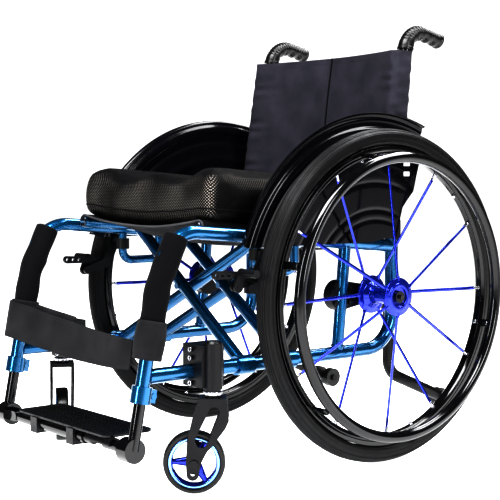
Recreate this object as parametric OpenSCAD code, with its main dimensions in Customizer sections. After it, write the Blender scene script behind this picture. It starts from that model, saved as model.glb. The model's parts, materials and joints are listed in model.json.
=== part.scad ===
// Folding sports wheelchair: two side frames joined by a double cross brace.
// Axes: +X is the user's left, -Y the front, +Z up. Millimetres, floor at z = 0.
// Side parts are drawn for the left side about the rear axle line, and mirrored for the right side.

/* [Rear wheels] */
// Diameter over the rear tyre
wheel_d = 610; // [560:1:640]
// Thickness of the rear tyre
tyre_w = 34; // [28:1:40]
// Depth of the rim section
rim_depth = 18; // [14:1:24]
// Width of the rim section
rim_w = 24; // [20:1:28]
// Number of spokes in a wheel
spoke_count = 12; // [8:2:16]
// Width of a spoke blade
spoke_w = 5; // [3:0.5:7]
// Thickness of a spoke blade
spoke_t = 2.6; // [2:0.2:4]
// Diameter of the hub flanges
flange_d = 70; // [60:1:84]
// Distance from the side frame to the inner end of the hub
hub_seat = 12; // [10:1:16]
// Distance from the wheel plane to the outer end of the hub
hub_out = 33; // [28:1:40]
// Diameter of the rear axle pin
axle_d = 12; // [10:0.5:13]
// Travel of the axle release button
button_travel = 3; // [2:0.5:4]
// Diameter over the handrim
handrim_d = 524; // [500:1:540]
// Diameter of the handrim tube
handrim_tube = 20; // [18:1:24]
// Distance from the wheel plane to the handrim plane
handrim_gap = 45; // [40:1:52]
// Number of handrim tabs
tab_count = 6; // [4:1:8]

/* [Side frames] */
// Distance between the centres of the two side frames
frame_w = 416; // [400:1:440]
// Diameter of the seat rail and front leg tube
rail_d = 24; // [22:0.5:26]
// Diameter of the lower rail and rear post tube
lower_d = 25; // [23:0.5:27]
// Backward lean of the front leg, degrees
leg_lean = 11; // [6:0.5:16]
// Height of the lower end of the front leg
leg_end_z = 165; // [150:1:180]
// Distance of the front leg's lower end ahead of the axle
leg_end_y = 504; // [490:1:520]
// Downward slope of the seat rail to the rear, degrees
seat_slope = 4.9; // [2:0.1:7]
// Height of the seat rail at the rear post
seat_rear_z = 391; // [380:1:410]
// Bend radius between front leg and seat rail
leg_bend_r = 70; // [60:1:80]
// Height of the lower rail
lower_z = 200; // [190:1:210]
// Distance of the rear post behind the axle
post_y = 70; // [64:1:76]
// Bend radius between lower rail and rear post
rear_bend_r = 65; // [50:1:80]
// Height of the top of the rear post
post_top_z = 424; // [416:1:440]
// Diameter of the axle upright
upright_d = 22; // [20:0.5:23]
// Distance of the upright's lower end ahead of the axle
upright_low_y = 70; // [66:1:76]
// Distance of the upright's upper end ahead of the axle
upright_top_y = 51; // [46:1:58]
// Height of the axle block
block_h = 56; // [46:1:66]
// Diameter of the axle receiver
receiver_d = 22; // [19:0.5:26]
// Diameter of the welded brake hanger tube
hanger_d = 16; // [14:0.5:18]
// Distance of the hanger's front leg ahead of the axle
hanger_front_y = 262; // [254:1:268]
// Distance of the hanger's rear leg ahead of the axle
hanger_rear_y = 175; // [165:1:185]
// Height of the hanger's lowest run
hanger_z = 356; // [350:1:362]
// Height of the leg clamp collar
collar_h = 28; // [24:1:34]
// Wall of the leg clamp collar
collar_wall = 5; // [4:0.5:7]

/* [Back] */
// Diameter of the back post tube
back_d = 22; // [20:0.5:24]
// Backward lean of the back posts, degrees
back_lean = 7.6; // [4:0.2:12]
// Inward lean of the back posts, degrees
back_in = 1.9; // [0:0.1:3]
// Height where the back post line meets the grip line
grip_z = 806; // [780:1:830]
// Length of the push grip beyond that corner
grip_len = 92; // [80:1:110]
// Downward tilt of the push grip, degrees
grip_droop = 13; // [0:1:20]
// Bend radius of the back post into the grip
grip_bend_r = 40; // [34:1:50]
// Diameter of the push grip
grip_d = 30; // [27:0.5:34]
// Height of the top edge of the back sling
back_top_z = 760; // [730:1:770]
// Height of the bottom edge of the back sling
back_low_z = 462; // [455:1:500]
// Thickness of the back sling
back_t = 4; // [3:0.5:6]
// Backward sag of the back sling between the posts
back_sag = 30; // [16:1:34]

/* [Side guards] */
// Clearance between tyre and fender
fender_gap = 26; // [20:1:30]
// Thickness of the guard panel
guard_t = 3; // [2:0.5:4]
// Distance of the guard panel outboard of the side frame
guard_out = 23; // [21:0.5:23]
// Width of the lip along the fender's edge
fender_w = 12; // [8:1:20]
// Height of the guard's lower edge
guard_low_z = 402; // [398:1:408]
// Angle of the fender's front end from the upright, degrees
fender_front = 72; // [66:1:74]
// Angle of the fender's rear end from the upright, degrees
fender_rear = 23; // [20:1:26]

/* [Casters] */
// Diameter of the caster wheel
caster_d = 104; // [96:1:108]
// Width of the caster tyre
caster_w = 24; // [20:1:27]
// Thickness of the caster tyre
caster_tyre_t = 9; // [7:0.5:12]
// Distance of the swivel axis outboard of the side frame
caster_out = 34; // [31:1:40]
// Distance of the swivel axis ahead of the axle
caster_y = 383; // [376:1:388]
// Trail of the caster wheel behind the swivel axis
trail = 31; // [26:1:38]
// Swivel angle of the left caster at rest, degrees
swivel_left = 141; // [0:1:180]
// Swivel angle of the right caster at rest, degrees
swivel_right = 61; // [0:1:180]
// Diameter of the caster housing
housing_d = 32; // [29:0.5:36]
// Height of the bottom of the caster housing
housing_z = 173; // [168:1:178]
// Height of the caster housing
housing_h = 76; // [66:1:80]
// Diameter of the fork stem
stem_d = 12; // [10:0.5:14]
// Gap between the fork's legs
fork_gap = 36; // [33:1:40]
// Thickness of the fork's legs
fork_t = 5; // [4:0.5:7]
// Diameter of the caster axle bolt
caster_axle_d = 8; // [6:0.5:9]

/* [Footrest] */
// Diameter of the telescopic foot tube
foot_d = 20; // [18:0.5:22]
// Height of the foot bar
bar_z = 83; // [78:1:88]
// Diameter of the foot bar's thick part
bar_d = 23; // [20:0.5:25]
// Diameter of the foot bar's thin part
bar_thin_d = 18; // [15:0.5:19]
// Diameter of the knuckles
knuckle_d = 40; // [36:1:44]
// Width of the knuckles
knuckle_w = 28; // [26:1:32]
// Distance of the knuckles inboard of the front legs
knuckle_in = 6; // [4:1:8]
// Distance of the footplate hinge inboard of the right front leg
foot_hinge_in = 43; // [40:1:48]
// Gap between the footplate's end and the left knuckle
plate_gap = 38; // [34:1:60]
// Depth of the footplate from front to rear
plate_w = 97; // [80:1:105]
// Thickness of the footplate
plate_t = 3.5; // [3:0.5:5]
// Number of ridges on the footplate
ridge_count = 9; // [5:1:12]

/* [Cross braces] */
// Diameter of the cross brace tubes
brace_d = 22; // [19:0.5:23]
// Distance of the front brace tube ahead of the axle
brace_y = 292; // [284:1:298]
// Distance between the two tubes of one brace
brace_pitch = 97; // [90:1:106]
// Distance between the two braces
brace_step = 26; // [25:0.5:30]
// Distance that a brace tube leans back from its sleeve up to the seat tube
brace_rake = 48; // [40:1:52]
// Length of a brace's lower sleeve
sleeve_l = 34; // [28:1:40]
// Wall of a brace's lower sleeve
sleeve_wall = 4; // [3:0.5:5]
// Diameter of the seat tubes
seat_tube_d = 22; // [20:0.5:24]
// Distance of the seat tubes inboard of the side frames
seat_tube_in = 27; // [24:1:32]
// Height of the seat tubes above the seat rail line
seat_tube_rise = 8; // [6:1:14]

/* [Seat and soft parts] */
// Gap between the cushion's sides and the side guards
cushion_gap = 21; // [19:1:31]
// Depth of the cushion from front to rear
cushion_l = 386; // [370:1:388]
// Thickness of the cushion
cushion_t = 80; // [60:1:100]
// Distance of the cushion's front ahead of the axle
cushion_front = 360; // [350:1:370]
// Height of the raised sides of the cushion
bolster_h = 10; // [0:1:18]
// Sag of the seat sling between the seat tubes
sling_sag = 38; // [20:1:42]
// Sag of the seat sling at its front edge
front_sag = 15; // [8:1:20]
// Thickness of the seat sling
sling_t = 2.4; // [2:0.2:4]
// Distance of the sling's front edge ahead of the axle
sling_front = 368; // [360:1:369]
// Outer diameter of the leg pads
pad_d = 46; // [44:1:50]
// Share of the leg's bend that the pad reaches round, degrees
pad_turn = 50; // [40:1:56]
// Height of the bottom of the leg pads
pad_low_z = 250; // [244:1:256]
// Height of the calf strap at the legs
strap_h = 64; // [50:1:72]
// Height of the calf strap's middle at the legs
strap_z = 258; // [250:1:264]
// Sag of the calf strap between the legs
strap_sag = 23; // [0:1:40]
// Thickness of the calf strap
strap_t = 3; // [2:0.5:5]

/* [Brakes] */
// Distance of the brake plate outboard of the side frame
brake_out = 21; // [20:0.5:23]
// Gap between the brake's outermost arm and the rear tyre
tyre_gap = 3.2; // [2:0.2:8]
// Thickness of the brake plate and lever
brake_t = 5; // [4:0.5:6]
// Distance of the lever pivot ahead of the axle
lever_y = 285; // [280:1:290]
// Height of the lever pivot
lever_z = 352; // [346:1:358]
// Length of the brake lever
lever_l = 88; // [70:1:100]
// Distance of the shoe pivot ahead of the axle
shoe_y = 330; // [328:1:336]
// Height of the shoe pivot
shoe_z = 338; // [334:1:342]
// Diameter of the brake shoe bar
shoe_d = 14; // [12:0.5:15]
// Length of the brake shoe bar
shoe_l = 40; // [30:1:44]

/* [Anti-tip arms] */
// Diameter of the anti-tip tube
tip_d = 22; // [18:0.5:23]
// Diameter of the anti-tip rollers
roller_d = 40; // [34:1:44]
// Width of an anti-tip roller
roller_w = 16; // [12:1:18]
// Distance of the rollers behind the axle
roller_y = 260; // [245:1:270]
// Height of the roller axle
roller_z = 73; // [66:1:80]
// Distance of the anti-tip tubes inboard of the side frames
tip_in = 28; // [26:1:32]

/* [Fits] */
// Radial clearance of turning fits
run = 0.06; // [0.02:0.01:0.1]
// Gap between pieces that are joined but separate
joint_gap = 0.1; // [0.05:0.05:0.3]
// Gap between pieces that move past each other
free_gap = 0.4; // [0.3:0.1:1]

/* [Hidden] */
$fn = 48;
wheel_r = wheel_d / 2;
frame_x = frame_w / 2;
// The brake plate, its lever and its shoe arm stand side by side between the frame and the tyre
wheel_out = brake_out + 3 * brake_t + 2 * free_gap + tyre_gap + tyre_w / 2;
track = frame_w + 2 * wheel_out;
hub_in = wheel_out - hub_seat;
guard_x = frame_x + guard_out;
caster_x = frame_x + caster_out;
seat_tube_x = frame_x - seat_tube_in;
brake_x = frame_x + brake_out;
tip_x = frame_x - tip_in;
cushion_w = 2 * (guard_x - cushion_gap);
rim_or = wheel_r - tyre_w + 2;
rim_ir = rim_or - rim_depth;
// Height of the seat rail line at a distance y behind the axle
function seat_z(y) = seat_rear_z + (post_y - y) * tan(seat_slope);
// Place of the leg line at a height z
function leg_y(z) = -leg_end_y + (z - leg_end_z) * tan(leg_lean);
corner_z = (seat_rear_z + (post_y + leg_end_y + leg_end_z * tan(leg_lean)) * tan(seat_slope))
  / (1 + tan(leg_lean) * tan(seat_slope));
leg_corner = [leg_y(corner_z), corner_z];
leg_end = [-leg_end_y, leg_end_z];
knuckle = [leg_y(bar_z), bar_z];
knuckle_x = frame_x - knuckle_in;
foot_hinge_x = frame_x - foot_hinge_in;
seat_line = seat_z(0) + seat_tube_rise;
post_base = [post_y, post_top_z];
// Place of the back post line at a height z, in the post's own plane
function back_y(z) = post_y + (z - post_top_z) * tan(back_lean);
grip_corner = [back_y(grip_z), grip_z];
grip_tip = grip_corner + grip_len * [cos(grip_droop), -sin(grip_droop)];
fender_r = wheel_r + fender_gap;
front_reach = knuckle_d / 2 - knuckle[0];
rear_reach = wheel_r;
axle_y = (front_reach - rear_reach) / 2;
caster_r = caster_d / 2;
caster_rim_r = caster_r - caster_tyre_t;
fork_top_z = 160;
fork_plate_t = 7;
hinge_w = 14;
hinge_d = 18;
pin_d = 8;

blue = [0.02, 0.30, 0.66];
royal = [0.12, 0.16, 0.76];
black = [0.07, 0.07, 0.08];
rubber = [0.11, 0.11, 0.12];
cloth = [0.17, 0.17, 0.20];

// Places a left-side piece on its side: 1 is left, -1 is right
module on_side(s) translate([0, axle_y, 0]) mirror([s < 0 ? 1 : 0, 0, 0]) children();

// Turns a drawing in y and z into the plane at distance x, with thickness along +X
module in_plane(x) translate([x, 0, 0]) rotate([90, 0, 90]) children();

// Frame of a rear wheel: local +Z points away from the chair
module at_wheel(s) translate([s * track / 2, axle_y, wheel_r]) rotate([0, s * 90, 0]) children();

// Frame of a caster: local +Y is the trail direction
module at_caster(s) translate([s * caster_x, axle_y - caster_y, 0])
  rotate([0, 0, s > 0 ? swivel_left : swivel_right]) children();

// Frame of the sloping seat: local +Z is square to the seat tubes, z = 0 on their axes
module on_seat() translate([0, axle_y, seat_line]) rotate([-seat_slope, 0, 0]) children();

// Frame of a back post's own plane, tilted inwards about the foot of the post
module in_back_plane() translate([frame_x, 0, post_top_z]) rotate([0, -back_in, 0])
  translate([0, 0, -post_top_z]) rotate([90, 0, 90]) children();

function unit(v) = v / norm(v);
function turn(a, b, c) = let(u = unit(b - a), w = unit(c - b)) atan2(u[0] * w[1] - u[1] * w[0], u * w);
function setback(a, b, c, r) = r * tan(abs(turn(a, b, c)) / 2);

// Straight round bar between two points of the drawing plane
module bar2(p, q, d) translate(p) rotate([0, 0, atan2(q[1] - p[1], q[0] - p[0])])
  rotate([0, 90, 0]) cylinder(d = d, h = norm(q - p));

// Bent round bar through points of the drawing plane, with a bend radius at each inner point.
// A fine weld ring closes the small gap between each straight run and its bend.
weld_h = 0.15;
weld_l = 3;
weld_gap = 0.5;
module bent_bar(pts, radii, d) {
  last = len(pts) - 1;
  for (i = [0 : last - 1]) {
    u = unit(pts[i + 1] - pts[i]);
    start = i == 0 ? 0 : setback(pts[i - 1], pts[i], pts[i + 1], radii[i - 1]) + weld_gap;
    stop = i == last - 1 ? 0 : setback(pts[i], pts[i + 1], pts[i + 2], radii[i]) + weld_gap;
    bar2(pts[i] + u * start, pts[i + 1] - u * stop, d);
  }
  for (i = [1 : 1 : last - 1]) {
    bend = turn(pts[i - 1], pts[i], pts[i + 1]);
    u = unit(pts[i] - pts[i - 1]);
    w = unit(pts[i + 1] - pts[i]);
    back = setback(pts[i - 1], pts[i], pts[i + 1], radii[i - 1]);
    start = pts[i] - u * back;
    stop = pts[i] + w * back;
    centre = start + sign(bend) * radii[i - 1] * [-u[1], u[0]];
    from = atan2(start[1] - centre[1], start[0] - centre[0]);
    trim = weld_gap / radii[i - 1] * 180 / PI;
    translate(centre) rotate([0, 0, min(from, from + bend) + trim])
      rotate_extrude(angle = abs(bend) - 2 * trim) translate([radii[i - 1], 0]) circle(d = d);
    bar2(start - u * weld_l / 2, start + u * weld_l / 2, d + 2 * weld_h);
    bar2(stop - w * weld_l / 2, stop + w * weld_l / 2, d + 2 * weld_h);
  }
}

// Flat link: two round ends joined by their outer tangents
module link2(p, q, rp, rq) {
  along = atan2(q[1] - p[1], q[0] - p[0]);
  side = acos((rp - rq) / norm(q - p));
  function rim(c, r, a) = c + r * [cos(a), sin(a)];
  translate(p) circle(r = rp);
  translate(q) circle(r = rq);
  polygon([rim(p, rp, along + side), rim(p, rp, along - side), rim(q, rq, along - side),
    rim(q, rq, along + side)]);
}

// Rectangle with round corners, centred
module round_rect(w, l, r) {
  square([w - 2 * r, l], center = true);
  square([w, l - 2 * r], center = true);
  for (x = [-1, 1], y = [-1, 1]) translate([x * (w / 2 - r), y * (l / 2 - r)]) circle(r = r);
}

// Triangles of one quad of a grid with n columns
function quad(a, b, c, d) = [[a, b, c], [a, c, d]];
// Closed skin between a top grid and a bottom grid, n points across and m points along
function grid_faces(n, m) = let(k = n * m) concat(
  [for (j = [0 : m - 2], i = [0 : n - 2], t = quad(j * n + i, (j + 1) * n + i, (j + 1) * n + i + 1,
    j * n + i + 1)) t],
  [for (j = [0 : m - 2], i = [0 : n - 2], t = quad(k + j * n + i, k + j * n + i + 1, k + (j + 1) * n + i + 1,
    k + (j + 1) * n + i)) t],
  [for (i = [0 : n - 2], t = quad(i, i + 1, k + i + 1, k + i)) t],
  [for (i = [0 : n - 2], a = (m - 1) * n, t = quad(a + i + 1, a + i, k + a + i, k + a + i + 1)) t],
  [for (j = [0 : m - 2], t = quad((j + 1) * n, j * n, k + j * n, k + (j + 1) * n)) t],
  [for (j = [0 : m - 2], a = n - 1, t = quad(j * n + a, (j + 1) * n + a, k + (j + 1) * n + a,
    k + j * n + a)) t]);

// Side frame pieces

rear_line = [post_y, lower_z];
rail_end_y = post_y - 0.6 * lower_d / 2;
rail_path = [leg_end, leg_corner, [rail_end_y, seat_z(rail_end_y)]];
lower_path = [[leg_y(lower_z) + 0.6 * rail_d / 2, lower_z], rear_line, [post_y, post_top_z]];
hanger_path = [[-hanger_front_y, seat_z(-hanger_front_y)], [-hanger_front_y, hanger_z],
  [-hanger_rear_y, hanger_z], [-hanger_rear_y, seat_z(-hanger_rear_y)]];
hanger_bend_r = 20;

module rail_tube(grow) in_plane(frame_x) bent_bar(rail_path, [leg_bend_r], rail_d + 2 * grow);
module lower_tube(grow) in_plane(frame_x) bent_bar(lower_path, [rear_bend_r], lower_d + 2 * grow);

module seat_rail(s) color(blue) on_side(s) {
  difference() {
    rail_tube(0);
    lower_tube(joint_gap);
  }
  difference() {
    in_plane(frame_x) bent_bar(hanger_path, [hanger_bend_r, hanger_bend_r], hanger_d);
    in_plane(frame_x) bar2(leg_corner, [0, seat_z(0)], rail_d - 2);
  }
}

module lower_rail(s) color(blue) on_side(s) difference() {
  lower_tube(0);
  in_plane(frame_x) bar2(leg_end, leg_corner, rail_d + 2 * joint_gap);
}

upright_low = [-upright_low_y, lower_z];
upright_top = [-upright_top_y, seat_z(-upright_top_y)];
module axle_upright(s) color(blue) on_side(s) difference() {
  in_plane(frame_x) bar2(upright_low, upright_top, upright_d);
  in_plane(frame_x) bar2([-2 * upright_low_y, lower_z], [0, lower_z], lower_d + 2 * joint_gap);
  in_plane(frame_x) bar2([-2 * upright_low_y, seat_z(-2 * upright_low_y)], [0, seat_z(0)],
    rail_d + 2 * joint_gap);
}

// Collar at the lower end of the front leg, with its clamp ear and bolt
collar_d = rail_d + 2 * collar_wall;
ear_l = 30;
ear_t = 14;
bolt_d = 10;
module along_leg(z) translate([frame_x, leg_y(z), z]) rotate([leg_lean * -1, 0, 0]) children();
module leg_clamp(s) color(blue) on_side(s) along_leg(leg_end_z) difference() {
  union() {
    translate([0, 0, -collar_h / 4]) cylinder(d = collar_d, h = collar_h);
    translate([-ear_t / 2, 0, -collar_h / 4 + 3]) cube([ear_t, ear_l - bolt_d / 2, collar_h - 6]);
    translate([-ear_t / 2 - 2, ear_l - bolt_d, collar_h / 4]) rotate([0, 90, 0])
      cylinder(d = bolt_d, h = ear_t + 4);
  }
  cylinder(d = rail_d + 2 * joint_gap, h = collar_h);
  translate([0, 0, -collar_h]) cylinder(d = foot_d + 2 * joint_gap, h = 2 * collar_h);
}

// Telescopic foot tube with the knuckle that carries the foot bar
stub_l = 58;
module foot_tube(s) color(black) on_side(s) {
  difference() {
    union() {
      in_plane(frame_x) bar2(knuckle, leg_end - [0, joint_gap], foot_d);
      translate([knuckle_x - knuckle_w / 2, knuckle[0], bar_z]) rotate([0, 90, 0])
        cylinder(d = knuckle_d, h = knuckle_w);
      if (s > 0)
        translate([knuckle_x - knuckle_w / 2 - stub_l, knuckle[0], bar_z]) rotate([0, 90, 0])
          cylinder(d = bar_thin_d, h = stub_l + 1);
      else
        hinge_ears();
    }
    along_leg(leg_end_z) translate([0, 0, -joint_gap]) cylinder(d = 3 * rail_d, h = collar_h);
  }
}

// Two ears and a cross pin that carry the foot bar on the right knuckle
hinge_ear_t = 4;
hinge_ear_l = knuckle_x - foot_hinge_x - knuckle_w / 2 + hinge_ear_t;
module hinge_ears() translate([foot_hinge_x, knuckle[0], bar_z]) rotate([90, 0, 0]) {
  for (m = [-1, 1]) translate([0, 0, m * (hinge_w + hinge_ear_t + 2 * free_gap) / 2 - hinge_ear_t / 2])
    linear_extrude(hinge_ear_t) link2([0, 0], [hinge_ear_l, 0], hinge_d / 2, hinge_d / 2);
  translate([0, 0, -hinge_w / 2 - free_gap - 1]) cylinder(d = pin_d, h = hinge_w + 2 * free_gap + 2);
}

// Foam sleeve that follows the leg and then leans into its bend, a little straighter than the tube
pad_knee_drop = 26;
pad_knee_r = 90;
pad_stand = 5;
leg_tangent_z = corner_z - leg_bend_r * tan((90 - leg_lean + seat_slope) / 2) * cos(leg_lean);
bend_centre = [leg_y(leg_tangent_z), leg_tangent_z] + leg_bend_r * [cos(leg_lean), -sin(leg_lean)];
pad_knee_z = leg_tangent_z - pad_knee_drop;
pad_top = bend_centre + (leg_bend_r + pad_stand) * [-cos(leg_lean + pad_turn), sin(leg_lean + pad_turn)];
pad_path = [[leg_y(pad_low_z), pad_low_z], [leg_y(pad_knee_z), pad_knee_z], pad_top];
module leg_pad(s) color(rubber) on_side(s) difference() {
  in_plane(frame_x) bent_bar(pad_path, [pad_knee_r], pad_d);
  rail_tube(joint_gap);
}

// Back posts and push grips

post_collar_d = lower_d + 9;
post_collar_h = 30;
grip_start_z = grip_z - 36;
post_path = [post_base + [0, joint_gap], grip_corner, grip_tip - 4 * unit(grip_tip - grip_corner)];
grip_path = [[back_y(grip_start_z), grip_start_z], grip_corner, grip_tip];
module back_post(s) color(black) on_side(s) {
  difference() {
    union() {
      in_back_plane() bent_bar(post_path, [grip_bend_r], back_d);
      translate([frame_x, post_y, post_top_z - post_collar_h / 2])
        cylinder(d = post_collar_d, h = post_collar_h);
    }
    translate([frame_x, post_y, post_top_z - post_collar_h])
      cylinder(d = lower_d + 2 * joint_gap, h = post_collar_h + joint_gap);
  }
}

module push_grip(s) color(rubber) on_side(s) difference() {
  in_back_plane() bent_bar(grip_path, [grip_bend_r], grip_d);
  in_back_plane() bent_bar([[back_y(grip_start_z - 60), grip_start_z - 60], grip_corner, post_path[2]],
    [grip_bend_r], back_d + 2 * joint_gap);
}

// Side guard: a thin panel inside the wheel with a fender over the tyre

guard_rear_y = 66;
guard_toe = 30;
// Rear edge of the guard, from its lower corner upwards
guard_corner = [guard_rear_y, guard_low_z];
heel_foot = guard_corner + [0, 42];
heel_step = guard_corner + [6, 62];
heel_low = guard_corner + [35, 92];
heel_mid = guard_corner + [43, 121];
heel_top = guard_corner + [54, 158];
guard_reach = 2 * fender_r;
function on_fender(a, r) = [-r * sin(a), wheel_r + r * cos(a)];
slot_l = 20;
slot_w = 9;
slot_count = 3;
slot_pitch = 19;
slot_place = [84, 527];
rib_h = 2;
rib_from = 8;
rib_sweep = 60;
// Distance below the fender's edge and width of each rib
ribs = [[28, 24], [80, 8], [127, 5], [177, 5]];
// The lip stands a little inside the panel and runs a little past its ends, degrees
lip_in = 0.5;
lip_over = 0.6;
spacer_d = 10;
spacer_places = [-240, -130];
module guard_outline() difference() {
  intersection() {
    translate([0, wheel_r]) circle(r = fender_r + guard_t / 2);
    polygon([on_fender(fender_front, fender_r + guard_t), on_fender(fender_front, guard_reach),
      on_fender(fender_front / 2, guard_reach), on_fender(0, guard_reach),
      on_fender(-fender_rear, guard_reach), on_fender(-fender_rear, fender_r - guard_t),
      heel_top, heel_mid, heel_low, heel_step, heel_foot, [guard_rear_y, guard_low_z],
      [guard_toe - fender_r * sin(fender_front), guard_low_z]]);
  }
  for (k = [0 : slot_count - 1]) translate(slot_place + [k, slot_pitch * k])
    square([slot_l, slot_w], center = true);
}
module side_guard(s) color(black) on_side(s) {
  in_plane(guard_x) linear_extrude(guard_t) guard_outline();
  translate([guard_x - lip_in, 0, wheel_r]) rotate([90, 0, 90]) rotate([0, 0, 90 - fender_rear - lip_over])
    rotate_extrude(angle = fender_front + fender_rear + 2 * lip_over) translate([fender_r, 0])
      square([guard_t, fender_w]);
  for (rib = ribs) translate([guard_x - rib_h, 0, wheel_r]) rotate([90, 0, 90])
    rotate([0, 0, 90 - fender_rear + rib_from]) rotate_extrude(angle = rib_sweep)
      translate([fender_r - rib[0], 0]) square([rib[1], rib_h + guard_t / 2]);
  for (y = spacer_places) difference() {
    translate([frame_x, y, seat_z(y)]) rotate([0, 90, 0]) cylinder(d = spacer_d, h = guard_x - frame_x + 1);
    rail_tube(joint_gap);
  }
}

// Axle block clamped on the upright, with the receiver of the quick-release axle

block_in = 18;
block_out = 3;
arm_out = 2;
receiver_in = 24;
receiver_wall = 6;
block_bolt_d = 8;
block_bolt_h = 5;
block_bolt_rise = 13;
block_bolt_side = upright_d / 2 + 7;
upright_at_axle = upright_low + (upright_top - upright_low) * (wheel_r - lower_z)
  / (upright_top[1] - lower_z);
module axle_block(s) color(black) on_side(s) difference() {
  union() {
    in_plane(frame_x - block_in) translate(upright_at_axle) cylinder(d = block_h, h = block_in + block_out);
    in_plane(frame_x - block_in + 1) linear_extrude(block_in + arm_out - 1)
      link2(upright_at_axle, [0, wheel_r], block_h / 2 - 1, receiver_d / 2 + receiver_wall);
    translate([frame_x - receiver_in, 0, wheel_r]) rotate([0, 90, 0])
      cylinder(d = receiver_d, h = track / 2 - hub_in - free_gap - frame_x + receiver_in);
    for (m = [-1, 1], z = [-1, 1])
      in_plane(frame_x + block_out - 1)
        translate(upright_at_axle + [m * block_bolt_side, z * block_bolt_rise])
          cylinder(d = block_bolt_d, h = block_bolt_h);
  }
  in_plane(frame_x) bar2(upright_low, upright_top, upright_d + 2 * joint_gap);
  translate([frame_x - 2 * receiver_in, 0, wheel_r]) rotate([0, 90, 0])
    cylinder(d = axle_d + 2 * joint_gap, h = track / 2);
}

// Casters

bracket_w = 46;
bracket_in = 18;
// Heights of the clamp bolts from the lower rail
bracket_bolts = [-18, 24, 38];
bracket_bolt_d = 7;
module caster_bracket(s) color(black) on_side(s) difference() {
  union() {
    translate([caster_x, -caster_y, housing_z]) cylinder(d = housing_d, h = housing_h);
    translate([frame_x - bracket_in, -caster_y - bracket_w / 2, lower_z - 24])
      cube([caster_x - frame_x + bracket_in, bracket_w, housing_h - 6]);
    for (rise = bracket_bolts) translate([frame_x + 6, -caster_y - bracket_w / 2 + 1, lower_z + rise])
      rotate([90, 0, 0]) cylinder(d = bracket_bolt_d, h = 4);
    translate([caster_x, -caster_y, housing_z + housing_h - 1])
      cylinder(d1 = housing_d - 2, d2 = housing_d - 10, h = 5);
  }
  translate([frame_x, -caster_y + bracket_w, lower_z]) rotate([90, 0, 0])
    cylinder(d = lower_d + 2 * joint_gap, h = 2 * bracket_w);
  translate([caster_x, -caster_y, housing_z - 1]) cylinder(d = stem_d + 2 * run, h = housing_h - 10);
}

fork_w = fork_gap + 2 * fork_t;
fork_l = 46;
// Two struts run down from the cheek to the axle boss, and a second hole stands below it
fork_boss_r = 13;
fork_foot_r = 10;
fork_low = [-2, 17];
fork_foot = [trail, caster_r] - fork_low;
fork_head = [-2.6, fork_top_z - 22];
fork_heel = [trail - 12.5, caster_r + 38];
fork_tilt = atan2(fork_heel[1] - fork_head[1], fork_heel[0] - fork_head[0]) + 90;
function arc_points(c, r, a, b, n) =
  [for (k = [0 : n]) c + r * [cos(a + (b - a) * k / n), sin(a + (b - a) * k / n)]];
fork_face = concat([[fork_l / 2, fork_top_z], [trail + 1.3, fork_top_z - 31], [trail + 10.9, caster_r + 40],
  [trail + fork_boss_r, caster_r + 4]], arc_points(fork_foot, fork_foot_r, 0, -180, 12),
  [[trail - fork_boss_r, caster_r + 4], [trail - 21.8, caster_r + 20.9], [trail - 29, caster_r + 28],
  [2.3 - fork_l / 2, fork_top_z - 49], [-3.6 - fork_l / 2, fork_top_z - 36], [-fork_l / 2, fork_top_z]]);
fork_window = concat(arc_points(fork_head, 9, fork_tilt, fork_tilt + 180, 10),
  arc_points(fork_heel, 11, fork_tilt + 180, fork_tilt + 360, 10));
module fork_leg() difference() {
  polygon(fork_face);
  polygon(fork_window);
  translate([trail, caster_r]) circle(d = caster_axle_d - 1);
  translate(fork_foot) circle(d = caster_axle_d - 1);
}
module caster_fork(s) color(black) at_caster(s) {
  translate([0, 0, fork_top_z - 1]) cylinder(d = stem_d, h = housing_z + housing_h - 14 - fork_top_z);
  translate([0, 0, fork_top_z]) cylinder(d = housing_d - 6, h = housing_z - fork_top_z - free_gap);
  translate([0, 0, fork_top_z - fork_plate_t]) linear_extrude(fork_plate_t) round_rect(fork_w, fork_l, 4);
  for (m = [-1, 1]) in_plane(m * (fork_gap + fork_t) / 2 - fork_t / 2) linear_extrude(fork_t) fork_leg();
  translate([-fork_w / 2 - 3, trail, caster_r]) rotate([0, 90, 0])
    cylinder(d = caster_axle_d, h = fork_w + 6);
  for (m = [-1, 1]) translate([m * (fork_w / 2 + 2) - 2, trail, caster_r]) rotate([0, 90, 0])
    cylinder(d = 14, h = 4);
}

caster_hub_d = 24;
caster_rim_t = 6;
caster_spokes = 3;
caster_spoke_t = 12;
module caster_rim(s) color(royal) at_caster(s) translate([0, trail, caster_r]) rotate([0, 90, 0])
  difference() {
    union() {
      rotate_extrude() translate([caster_rim_r - caster_rim_t, -caster_w / 2 + 1])
        square([caster_rim_t, caster_w - 2]);
      translate([0, 0, -fork_gap / 2 + free_gap])
        cylinder(d = caster_hub_d, h = fork_gap - 2 * free_gap);
      for (k = [0 : caster_spokes - 1]) rotate([0, 0, (k + 0.25) * 360 / caster_spokes])
        translate([0, 0, -caster_spoke_t / 2]) linear_extrude(caster_spoke_t)
          link2([caster_rim_t, 0], [caster_rim_r - 5, 0], 9, 4.5);
    }
    translate([0, 0, -fork_gap]) cylinder(d = caster_axle_d + 2 * run, h = 2 * fork_gap);
  }

module caster_tyre(s) color(rubber) at_caster(s) translate([0, trail, caster_r]) rotate([0, 90, 0])
  rotate_extrude() {
    round_r = caster_tyre_t / 2;
    translate([caster_rim_r + joint_gap, -caster_w / 2])
      square([caster_tyre_t - round_r - joint_gap, caster_w]);
    translate([caster_r - round_r, -caster_w / 2 + round_r]) circle(r = round_r);
    translate([caster_r - round_r, caster_w / 2 - round_r]) circle(r = round_r);
    translate([caster_r - caster_tyre_t / 2, -caster_w / 2 + round_r])
      square([caster_tyre_t / 2, caster_w - 2 * round_r]);
  }

// Rear wheels

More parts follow.
